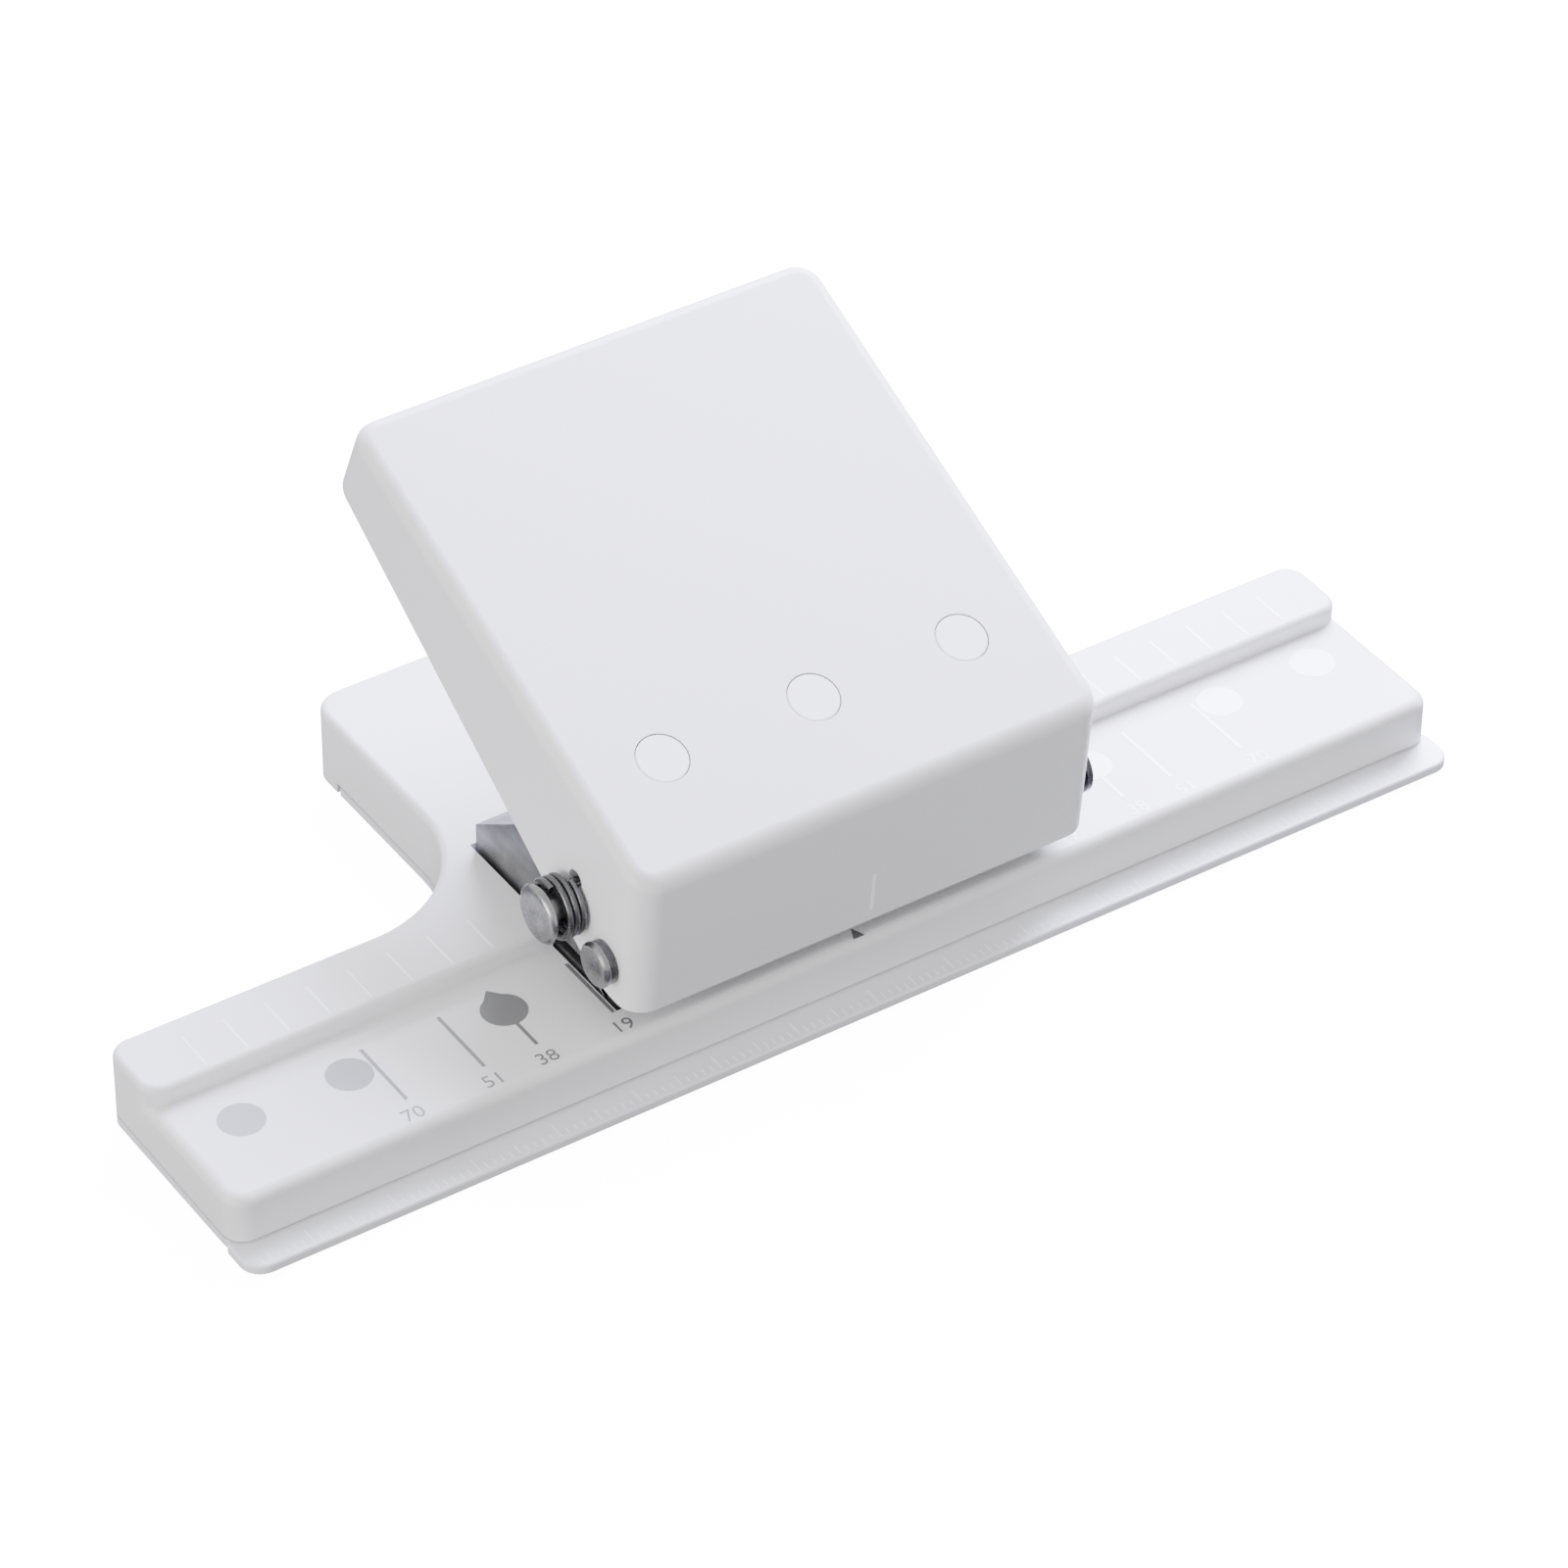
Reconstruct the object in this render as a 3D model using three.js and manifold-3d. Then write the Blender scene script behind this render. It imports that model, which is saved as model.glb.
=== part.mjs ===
// Three-hole lever punch for organiser pages: T-shaped plastic base, steel punch frame and wedge lever.
//
// Working axes: X runs along the paper stop, Y points to the rear and Z up.
// Y = 0 is the paper stop (the fence), Z = 0 is the paper bed and X = 0 is the middle punch.
// The exported group moves the whole punch so that its origin is the bottom centre of its box.
import * as THREE from "three";
import { mergeVertices } from "three/addons/utils/BufferGeometryUtils.js";
import Module from "manifold-3d";

const wasm = await Module();
wasm.setup();
const rad = THREE.MathUtils.degToRad;

// ---------------------------------------------------------------- driving dimensions (mm)

// Base
const barLength = 155;
const bedDepth = 17.2; // paper stop to the bar's front face
const stripDepth = 9.5; // paper stop to the bar's rear face
const fenceHeight = 2.4;
const stemMargin = 0.2; // how far the stem passes the lever on each side
const stemReach = 48.6; // paper stop to the stem's rear face
const stemFillet = 15;
const bodyDepth = 5.75; // paper bed to the underside of the base's walls
const shellWall = 1.8;
const barCorner = 2.5;
const stemCorner = 3.5;
const baseEdge = 1.1; // rounding of the base's upper edges

// Bottom cover with its ruler lip
const coverThickness = 1.1;
const coverGap = 0.25;
const lipDepth = 4;
const lipOverhang = 0.3; // how far the lip passes the bar's ends
const lipCorner = 1;
const lipEdge = 0.35;
const tongueHeight = 2.2;
const tongueThickness = 1;
const tongueWidth = 8;
const tongueRoot = 0.2;
const tongueShares = [-0.8, -0.45, 0.45, 0.8]; // of half the bar's length
const coverPinRadius = 0.8;
const coverBarrelRadius = 1.4;
const coverBarrelGap = 0.3;
const coverPinInset = 0.9; // stem's side to the end of the cover's pin
const coverPinEndGap = 0.3;
const coverHingeInset = 1.7; // rear wall thickness at the cover hinge
const footRadius = 4;
const footHeight = 0.5;
const footRecess = 0.4;
const footChamfer = 0.3;
const footInset = 9; // end of the bar, or side of the stem, to the feet
const footRearInset = 14; // stem's rear face to the rear feet

// Punches
const punchPitch = 19;
const punchRadius = 3;
const punchSetback = 6; // paper stop to the punch axes
const punchRestHeight = 2.2;
const punchFit = 0.05;
const punchHeadRadius = 4.5;
const punchHeadWeb = 1.5;
const punchChamfer = 0.5;
const punchGrind = 0.9; // rise of the hollow in the cutting end

// Frame, die plate and guide plate
const frameSideGap = 2.9; // outer punch heads to the frame's side plates
const frameRear = 16.4;
const frameSheet = 1.2;
const frameRearHeight = 5.4;
const frameSlope = 34;
const frameTop = 15.4;
const frameWebFront = 5;
const frameFlange = 9;
const frameMargin = 5; // how far cutting outlines pass the frame
const frameCrown = 1.2; // side plate in front of the drive axle
const diePlateThickness = 1.5;
const diePlateProud = 0.3; // die plate above the paper bed
const dieFront = 12.2; // paper stop to the die plate's front edge
const throatHeight = 1.4;
const guidePlateThickness = 1.5;
const guideFront = 14.4;
const throatStopDepth = 4.6;
const guideTabWidth = 3;
const guideTabPlaces = [12.4, 4]; // paper stop to the tabs' front edges
const stopGap = 0.2; // round the throat stop
const pocketGap = 0.5;
const pocketFloor = 1.5;
const pocketWall = 1.5;
const chuteRadius = 4;

// Lever and its axles
const hingeSetback = 13; // paper stop to the hinge pin
const hingeHeight = 7.8;
const hingePinRadius = 1.5;
const hingeEarRadius = 3.2;
const hingeEarTurn = 53; // degrees up the ear to where the front slope starts
const axleSetback = 6.5; // paper stop to the drive axle, lever raised
const axleHeight = 11.5;
const axleRadius = 2;
const axleSlotGap = 0.3;
const leverTravel = 33; // degrees, from raised to pressed
const leverFrameGap = 0.4; // frame's side plates to the lever's side walls
const leverTilt = 23.4; // top face, lever raised
const leverTopLength = 62.5;
const leverFrontHeight = 18.7;
const leverFrontLean = 5.5;
const leverFrontSetback = 18;
const leverFrontGap = 3; // paper bed to the lever's front rim, lever raised
const rimOffset = 5; // hinge pin to the lever's lower rim, square to the rim
const leverTopWall = 2;
const leverSideWall = 1.5;
const leverEndWall = 1.8;
const leverEdge = 1.4; // rounding of the top face's side edges
const leverTopEdge = 1.6; // rounding of its front and rear edges
const leverEndCorner = 3; // upright corners between the ends and the sides
const leverCorner = 2.5;
const rimBendRadius = 8;
const leverCavityCorner = 1;
const leverMargin = 8; // how far cutting outlines pass the lever
const leverRibThickness = 1.6;
const axleBossRadius = 3.6;
const runningFit = 0.06;

// Pin heads, washers and clips
const axleHeadRadius = 3.45;
const axleHeadThickness = 0.8;
const axleOverhang = 4.8; // lever wall to the outside of the axle's head
const hingeHeadRadius = 2.6;
const hingeHeadThickness = 0.9;
const hingeWasherThickness = 0.8;
const hingeWasherRadius = 2.5;
const axleWasherRadius = 3.1;
const axleWasherThickness = 0.3;
const clipThickness = 0.7;
const clipGrooveDepth = 0.45;
const clipWidth = 1.6;
const clipMouth = 0.75; // half the mouth, as a share of the clip's bore
const pinTip = 0.8; // pin beyond its clip
const pinChamfer = 0.3;
const headEdge = 0.5;
const headDome = 0.35;
const sideGap = 0.1; // lever wall to the hinge washers
const headGap = 0.05;

// Return springs
const springWire = 0.38; // wire radius
const springRadius = 3.25; // coil's mean radius
const springTurns = 3;
const springPitch = 0.84;
const springLeg = 0.15; // leg past the inner face of the lever's wall
const springStart = 100; // degrees round the axle where the leg leaves the coil
const springBend = 0.6;
const coilGap = 0.12; // lever wall to the coil
const legHoleGap = 0.8;

// Small parts
const dotRadius = 2.9;
const dotThickness = 0.8;
const dotOffset = 13.2; // lever's front top edge to the dots
const dotFit = 0.12;
const screwRadius = 1.5;
const screwHeadRadius = 2.7;
const screwHeadHeight = 1.6;
const screwRow = 11.5; // paper stop to the screws
const screwInner = 9; // middle punch to the inner screws
const screwSideInset = 4.4; // frame's side plates to the outer screws
const screwFit = 0.1;
const screwHeadChamfer = 0.6;
const screwCrossArm = 1.5;
const screwCrossHalf = 0.35;
const screwCrossDepth = 0.8;
const rivetRadius = 1.25;
const rivetHeadRadius = 2.1;
const rivetHeadHeight = 0.8;
const rivetShoulder = 0.8; // share of the head's radius and height where its dome turns
const rivetRow = 2.4; // paper stop to the rivets
const seatGap = 0.02; // between pieces that seat on each other
const threadGap = 0.04; // round screws and rivets in sheet steel
const windowGap = 0.06; // round the guide plate's tabs

// ---------------------------------------------------------------- derived places (mm)

const barHalf = barLength / 2;
const frameInside = punchPitch + punchHeadRadius + frameSideGap;
const frameHalf = frameInside + frameSheet;
const frameWidth = 2 * frameHalf;
const leverInside = frameHalf + leverFrameGap;
const leverHalf = leverInside + leverSideWall;
const stemHalf = leverHalf + stemMargin;
const betweenPunches = punchPitch / 2; // where the lever's ribs and the guide rivets stand
const screwOffsets = [screwInner, frameInside - screwSideInset];
const dieTop = diePlateProud;
const dieBottom = dieTop - diePlateThickness;
const floorBottom = dieBottom - pocketFloor;
const guideBottom = dieTop + throatHeight;
const guideTop = guideBottom + guidePlateThickness;
const coverTop = -bodyDepth - coverGap;
const coverBottom = coverTop - coverThickness;
const punchPlaces = { left: -punchPitch, centre: 0, right: punchPitch };
const sides = { left: -1, right: 1 };
const hinge = new THREE.Vector2(-hingeSetback, hingeHeight);
const axle = new THREE.Vector2(-axleSetback, axleHeight);
const axleReach = hinge.distanceTo(axle);
const axleAngle = Math.atan2(axle.y - hinge.y, axle.x - hinge.x);
const coverHinge = new THREE.Vector2(
  stemReach - coverHingeInset - coverBarrelGap - coverBarrelRadius,
  coverBottom + coverBarrelRadius,
);

// The drive axle's centre when the lever has turned by `angle` degrees from its raised place.
function axleAt(angle) {
  const turned = axleAngle - rad(angle);
  return new THREE.Vector2(
    hinge.x + axleReach * Math.cos(turned),
    hinge.y + axleReach * Math.sin(turned),
  );
}

// ---------------------------------------------------------------- geometry helpers

function toSolid(geometry) {
  const bare = geometry.index ? geometry.toNonIndexed() : geometry.clone();
  bare.deleteAttribute("normal");
  bare.deleteAttribute("uv");
  const merged = mergeVertices(bare, 1e-4);
  return new wasm.Manifold(
    new wasm.Mesh({
      numProp: 3,
      vertProperties: merged.attributes.position.array,
      triVerts: new Uint32Array(merged.index.array),
    }),
  );
}

function toGeometry(solid) {
  const mesh = solid.getMesh();
  const geometry = new THREE.BufferGeometry();
  geometry.setAttribute("position", new THREE.BufferAttribute(mesh.vertProperties, 3));
  geometry.setIndex(new THREE.BufferAttribute(mesh.triVerts, 1));
  geometry.computeVertexNormals();
  return geometry;
}

const join = (solids) => solids.reduce((whole, next) => whole.add(next));
const cut = (solid, tools) => tools.reduce((rest, tool) => rest.subtract(tool), solid);

function block(x0, x1, y0, y1, z0, z1) {
  const box = new THREE.BoxGeometry(x1 - x0, y1 - y0, z1 - z0);
  box.translate((x0 + x1) / 2, (y0 + y1) / 2, (z0 + z1) / 2);
  return toSolid(box);
}

// An outline through `corners`, each { x, y, r }, with an arc of radius r at the corner.
function rounded(corners) {
  const shape = new THREE.Shape();
  corners.forEach((corner, i) => {
    const before = corners[(i + corners.length - 1) % corners.length];
    const after = corners[(i + 1) % corners.length];
    const here = new THREE.Vector2(corner.x, corner.y);
    const back = new THREE.Vector2(before.x, before.y).sub(here).normalize();
    const ahead = new THREE.Vector2(after.x, after.y).sub(here).normalize();
    if (!corner.r) {
      if (i === 0) shape.moveTo(here.x, here.y);
      else shape.lineTo(here.x, here.y);
      return;
    }
    const half = Math.acos(THREE.MathUtils.clamp(back.dot(ahead), -1, 1)) / 2;
    const trim = corner.r / Math.tan(half);
    const start = here.clone().addScaledVector(back, trim);
    const end = here.clone().addScaledVector(ahead, trim);
    const middle = back.clone().add(ahead).normalize();
    const centre = here.clone().addScaledVector(middle, corner.r / Math.sin(half));
    const a0 = Math.atan2(start.y - centre.y, start.x - centre.x);
    const a1 = Math.atan2(end.y - centre.y, end.x - centre.x);
    if (i === 0) shape.moveTo(start.x, start.y);
    else shape.lineTo(start.x, start.y);
    shape.absarc(centre.x, centre.y, corner.r, a0, a1, back.cross(ahead) > 0);
  });
  shape.closePath();
  return shape;
}

const sharp = (points) => rounded(points.map(([x, y]) => ({ x, y, r: 0 })));

// A plan outline (X, Y) raised from z0 to z1, its upper edge rounded by `edge`.
function raise(shape, z0, z1, edge = 0, segments = 4) {
  const depth = z1 - z0 - (edge ? edge : 0);
  const geometry = new THREE.ExtrudeGeometry(shape, {
    depth,
    curveSegments: segments,
    bevelEnabled: edge > 0,
    bevelThickness: edge,
    bevelSize: edge,
    bevelOffset: -edge,
    bevelSegments: 2,
  });
  geometry.translate(0, 0, z0);
  const solid = toSolid(geometry);
  const far = 500;
  return edge ? solid.subtract(block(-far, far, -far, far, z0 - far, z0)) : solid;
}

// A side outline (Y, Z) spread from x0 to x1, the edges of its two ends rounded by `edge`.
function spread(shape, x0, x1, edge = 0, segments = 4) {
  const geometry = new THREE.ExtrudeGeometry(shape, {
    depth: x1 - x0 - 2 * edge,
    curveSegments: segments,
    bevelEnabled: edge > 0,
    bevelThickness: edge,
    bevelSize: edge,
    bevelOffset: -edge,
    bevelSegments: 3,
  });
  geometry.translate(0, 0, x0 + edge);
  // shape x -> Y, shape y -> Z, depth -> X
  geometry.applyMatrix4(new THREE.Matrix4().set(0, 0, 1, 0, 1, 0, 0, 0, 0, 1, 0, 0, 0, 0, 0, 1));
  return toSolid(geometry);
}

function rodX(radius, x0, x1, centre, segments = 24) {
  const geometry = new THREE.CylinderGeometry(radius, radius, x1 - x0, segments);
  geometry.rotateZ(Math.PI / 2);
  geometry.translate((x0 + x1) / 2, centre.x, centre.y);
  return toSolid(geometry);
}

function rodZ(radius, x, y, z0, z1, segments = 24) {
  const geometry = new THREE.CylinderGeometry(radius, radius, z1 - z0, segments);
  geometry.rotateX(Math.PI / 2);
  geometry.translate(x, y, (z0 + z1) / 2);
  return toSolid(geometry);
}

// A profile of [radius, height] pairs turned about Z and moved to (x, y).
function turned(profile, x, y, segments = 28) {
  const points = profile.map(([r, z]) => new THREE.Vector2(r, z));
  const geometry = new THREE.LatheGeometry(points, segments);
  geometry.rotateX(Math.PI / 2);
  geometry.translate(x, y, 0);
  return toSolid(geometry);
}

// The corners of a closed outline whose sides have moved inwards, side i (from corner i) by distances[i].
function inset(points, distances) {
  const lines = points.map((p, i) => {
    const q = points[(i + 1) % points.length];
    const along = q.clone().sub(p).normalize();
    const inwards = new THREE.Vector2(-along.y, along.x);
    return { at: p.clone().addScaledVector(inwards, distances[i]), along };
  });
  return lines.map((line, i) => {
    const before = lines[(i + lines.length - 1) % lines.length];
    const gap = line.at.clone().sub(before.at);
    const t = gap.cross(line.along) / before.along.cross(line.along);
    return before.at.clone().addScaledVector(before.along, t);
  });
}

// ---------------------------------------------------------------- materials

const finish = (color, roughness, metalness = 0) =>
  new THREE.MeshStandardMaterial({ color, roughness, metalness });
const whitePlastic = finish(0xe9e9ee, 0.5);
const palePlastic = finish(0xdedfe6, 0.45);
const dotPlastic = finish(0xf4f4f6, 0.35);
const brushedSteel = finish(0x9b9b9c, 0.38, 1);
const brightSteel = finish(0xb9b9ba, 0.25, 1);
const springSteel = finish(0x77777a, 0.3, 1);
const hardenedSteel = finish(0x8d8e92, 0.3, 1);
const rubber = finish(0x3a3a3c, 0.9);

const punch = new THREE.Group();
function add(name, solid, material) {
  const mesh = new THREE.Mesh(toGeometry(solid), material.clone());
  mesh.name = name;
  punch.add(mesh);
}

// ---------------------------------------------------------------- base body

// The T outline, with every side moved inwards by `inward`, from the given front line to the stem's end.
function teeOutline(inward, front, length = barHalf, reach = stemReach) {
  const x = length - inward;
  const rear = stripDepth - inward;
  const stem = stemHalf - inward;
  const end = reach - inward;
  const corner = Math.max(barCorner - inward, 0.4);
  const tip = Math.max(stemCorner - inward, 0.4);
  const fillet = stemFillet + inward;
  return rounded([
    { x: -x, y: front, r: corner },
    { x, y: front, r: corner },
    { x, y: rear, r: corner },
    { x: stem, y: rear, r: fillet },
    { x: stem, y: end, r: tip },
    { x: -stem, y: end, r: tip },
    { x: -stem, y: rear, r: fillet },
    { x: -x, y: rear, r: corner },
  ]);
}

const skirtReach = coverBarrelRadius + 1; // cover hinge to where the stem's walls reach down
const skirtFront = coverHinge.x - skirtReach;
// The cover is full width again only where its swing clears the skirt's lower corner.
const notchFront = coverHinge.x - Math.hypot(skirtReach, coverBarrelRadius) - coverGap;
const pocketHalf = frameHalf + pocketGap;
const pocketFront = -dieFront - pocketGap;
const pocketRear = frameRear + pocketGap;

function baseBody() {
  const bed = raise(teeOutline(0, -bedDepth), -bodyDepth, 0, baseEdge);
  const strip = raise(teeOutline(0, 0), -bodyDepth, fenceHeight, baseEdge * 0.6);
  const skirt = raise(teeOutline(0, 0), coverBottom, -bodyDepth).subtract(
    block(-barHalf, barHalf, -bedDepth, skirtFront, coverBottom - 1, 0),
  );
  const outside = join([bed, strip, skirt]);
  const below = coverBottom - 1;
  const hollow = join([
    raise(teeOutline(shellWall, -bedDepth + shellWall), below, -shellWall),
    raise(teeOutline(shellWall, shellWall), below, fenceHeight - shellWall),
  ]);
  const pocketRim = block(
    -pocketHalf - pocketWall, pocketHalf + pocketWall,
    -bedDepth + shellWall / 2, pocketRear + pocketWall, floorBottom, 0,
  );
  const pocket = block(-pocketHalf, pocketHalf, pocketFront, pocketRear, dieBottom, fenceHeight + 1);
  const chutes = Object.values(punchPlaces).map((x) =>
    rodZ(chuteRadius, x, -punchSetback, floorBottom - 1, dieBottom + 1),
  );
  const screwHoles = screwPlaces().map((x) =>
    rodZ(screwRadius + screwFit, x, screwRow, floorBottom - 1, dieBottom + 1, 16),
  );
  const pinHalf = stemHalf - coverPinInset + coverPinEndGap;
  const pinHole = rodX(coverPinRadius + runningFit, -pinHalf, pinHalf, coverHinge, 20);
  return cut(outside.subtract(hollow).add(pocketRim), [pocket, ...chutes, ...screwHoles, pinHole]);
}

function screwPlaces() {
  return screwOffsets.flatMap((offset) => [-offset, offset]);
}

// ---------------------------------------------------------------- bottom cover, its pin and feet

const footPlaces = {
  front_left: [-barHalf + footInset, -punchSetback],
  front_right: [barHalf - footInset, -punchSetback],
  rear_left: [-stemHalf + footInset, stemReach - footRearInset],
  rear_right: [stemHalf - footInset, stemReach - footRearInset],
};

function bottomCover() {
  const plate = raise(teeOutline(0, -bedDepth), coverBottom, coverTop);
  const lip = raise(
    rounded([
      { x: -barHalf - lipOverhang, y: -bedDepth - lipDepth, r: barCorner },
      { x: barHalf + lipOverhang, y: -bedDepth - lipDepth, r: barCorner },
      { x: barHalf + lipOverhang, y: -bedDepth + shellWall, r: lipCorner },
      { x: -barHalf - lipOverhang, y: -bedDepth + shellWall, r: lipCorner },
    ]),
    coverBottom,
    coverTop,
    lipEdge,
  );
  const wall = shellWall + coverGap;
  const barrelHalf = stemHalf - Math.max(stemCorner, wall); // clear of the stem's round corners
  const rearNotch = join([
    block(-stemHalf, stemHalf, coverHinge.x, stemReach, coverBottom - 1, coverTop + 1),
    ...Object.values(sides).map((side) =>
      block(
        Math.min(side * stemHalf, side * barrelHalf), Math.max(side * stemHalf, side * barrelHalf),
        notchFront, stemReach, coverBottom - 1, coverTop + 1,
      ),
    ),
  ]);
  const barrel = rodX(coverBarrelRadius, -barrelHalf, barrelHalf, coverHinge, 24);
  const tongues = tongueShares.map((share) =>
    block(
      share * barHalf - tongueWidth / 2, share * barHalf + tongueWidth / 2,
      -bedDepth + wall, -bedDepth + wall + tongueThickness,
      coverTop - tongueRoot, coverTop + tongueHeight,
    ),
  );
  const recesses = Object.values(footPlaces).map(([x, y]) =>
    rodZ(footRadius + punchFit, x, y, coverBottom - 1, coverBottom + footRecess, 20),
  );
  const bore = rodX(coverPinRadius + runningFit, -stemHalf, stemHalf, coverHinge, 20);
  return cut(join([plate.subtract(rearNotch), lip, barrel, ...tongues]), [...recesses, bore]);
}

function coverPin() {
  const half = stemHalf - coverPinInset;
  return rodX(coverPinRadius, -half, half, coverHinge, 20);
}

function foot([x, y]) {
  const bottom = coverBottom - footHeight;
  const top = coverBottom + footRecess - seatGap;
  return turned(
    [
      [0, bottom], [footRadius - footChamfer, bottom], [footRadius, bottom + footChamfer],
      [footRadius, top], [0, top],
    ],
    x, y, 20,
  );
}

// ---------------------------------------------------------------- frame, die plate and guide plate

function sidePlateOutline() {
  const topRear = frameRear - (frameTop - frameRearHeight) / Math.tan(rad(frameSlope));
  const earTurn = rad(hingeEarTurn);
  const earCorner = new THREE.Vector2(-Math.cos(earTurn), Math.sin(earTurn)).multiplyScalar(hingeEarRadius);
  return [
    new THREE.Vector2(-guideFront, guideBottom),
    new THREE.Vector2(stopGap, guideBottom),
    new THREE.Vector2(stopGap, dieTop),
    new THREE.Vector2(frameRear, dieTop),
    new THREE.Vector2(frameRear, frameRearHeight),
    new THREE.Vector2(topRear, frameTop),
    new THREE.Vector2(axle.x - axleRadius - frameCrown, frameTop),
    hinge.clone().add(earCorner),
    new THREE.Vector2(hinge.x - hingeEarRadius, hinge.y),
  ];
}

// The slot that the drive axle sweeps, as an outline about the hinge pin with round ends.
function axleSlot() {
  const half = axleRadius + axleSlotGap;
  const top = axleAngle;
  const bottom = axleAngle - rad(leverTravel);
  const shape = new THREE.Shape();
  const topEnd = axleAt(0);
  const bottomEnd = axleAt(leverTravel);
  shape.absarc(hinge.x, hinge.y, axleReach + half, bottom, top, false);
  shape.absarc(topEnd.x, topEnd.y, half, top, top + Math.PI, false);
  shape.absarc(hinge.x, hinge.y, axleReach - half, top, bottom, true);
  shape.absarc(bottomEnd.x, bottomEnd.y, half, bottom + Math.PI, bottom + 2 * Math.PI, false);
  return shape;
}

const guideTabs = guideTabPlaces.map((place) => -place);

function punchFrame() {
  const outline = sidePlateOutline();
  const outside = spread(sharp(outline.map((p) => [p.x, p.y])), -frameHalf, frameHalf);
  const rearBand = inset(
    [
      outline[3], outline[4], outline[5],
      new THREE.Vector2(-frameWidth, frameTop), new THREE.Vector2(-frameWidth, dieTop),
    ],
    [frameSheet, frameSheet, -frameMargin, 0, frameSheet],
  );
  const inside = spread(
    sharp(rearBand.map((p) => [p.x, p.y])),
    -frameInside, frameInside,
  );
  const frontOpening = block(
    -frameInside, frameInside, -frameWidth, frameWebFront, -frameMargin, frameTop + frameMargin,
  );
  const flangeCut = block(
    -frameInside, frameInside, -frameWidth, frameRear - frameFlange,
    -frameMargin, dieTop + frameSheet + seatGap,
  );
  const slot = spread(axleSlot(), -frameHalf - 1, frameHalf + 1);
  const pinHole = rodX(hingePinRadius + runningFit, -frameHalf - 1, frameHalf + 1, hinge);
  const windows = guideTabs.map((y) =>
    block(
      -frameHalf - 1, frameHalf + 1, y - windowGap, y + guideTabWidth + windowGap,
      guideBottom - 1, guideTop + windowGap,
    ),
  );
  const threads = screwPlaces().map((x) =>
    rodZ(screwRadius + threadGap, x, screwRow, dieTop - 1, dieTop + frameSheet + 1, 16),
  );
  return cut(outside, [inside, frontOpening, flangeCut, slot, pinHole, ...windows, ...threads]);
}

function punchHoles(z0, z1) {
  return Object.values(punchPlaces).map((x) =>
    rodZ(punchRadius + punchFit, x, -punchSetback, z0, z1, 28),
  );
}

function rivetHoles(z0, z1) {
  return [-betweenPunches, betweenPunches].map((x) =>
    rodZ(rivetRadius + threadGap, x, rivetRow, z0, z1, 16),
  );
}

function diePlate() {
  const outline = rounded([
    { x: -frameHalf, y: -dieFront, r: 1 },
    { x: frameHalf, y: -dieFront, r: 1 },
    { x: frameHalf, y: frameRear, r: 0.5 },
    { x: -frameHalf, y: frameRear, r: 0.5 },
  ]);
  const plate = raise(outline, dieBottom + seatGap, dieTop - seatGap);
  const threads = screwPlaces().map((x) =>
    rodZ(screwRadius + threadGap, x, screwRow, dieBottom - 1, dieTop + 1, 16),
  );
  return cut(plate, [
    ...punchHoles(dieBottom - 1, dieTop + 1), ...threads, ...rivetHoles(dieBottom - 1, dieTop + 1),
  ]);
}

function guidePlate() {
  const half = frameInside - seatGap;
  const plate = block(-half, half, -guideFront, throatStopDepth, guideBottom, guideTop);
  const tabs = guideTabs.map((y) =>
    block(-frameHalf, frameHalf, y, y + guideTabWidth, guideBottom, guideTop),
  );
  return cut(join([plate, ...tabs]), [
    ...punchHoles(guideBottom - 1, guideTop + 1), ...rivetHoles(guideBottom - 1, guideTop + 1),
  ]);
}

function throatStop() {
  const half = frameInside - stopGap;
  const bar = block(-half, half, 0, throatStopDepth, dieTop, guideBottom - seatGap);
  return cut(bar, rivetHoles(dieTop - 1, guideBottom + 1));
}

function rivet(x) {
  return turned(
    [
      [0, dieBottom + seatGap], [rivetRadius, dieBottom + seatGap],
      [rivetRadius, guideTop + seatGap], [rivetHeadRadius, guideTop + seatGap],
      [rivetHeadRadius * rivetShoulder, guideTop + rivetHeadHeight * rivetShoulder],
      [0, guideTop + rivetHeadHeight],
    ],
    x, rivetRow, 16,
  );
}

function frameScrew(x) {
  const under = floorBottom - seatGap;
  const bottom = under - screwHeadHeight;
  const head = turned(
    [
      [0, bottom], [screwHeadRadius - screwHeadChamfer, bottom],
      [screwHeadRadius, bottom + screwHeadChamfer],
      [screwHeadRadius, under], [screwRadius, under],
      [screwRadius, dieTop + frameSheet], [0, dieTop + frameSheet],
    ],
    x, screwRow, 16,
  );
  const crossHalves = [[screwCrossArm, screwCrossHalf], [screwCrossHalf, screwCrossArm]];
  const cross = crossHalves.map(([dx, dy]) =>
    block(x - dx, x + dx, screwRow - dy, screwRow + dy, bottom - 1, bottom + screwCrossDepth),
  );
  return cut(head, cross);
}

// ---------------------------------------------------------------- punch pins

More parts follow.
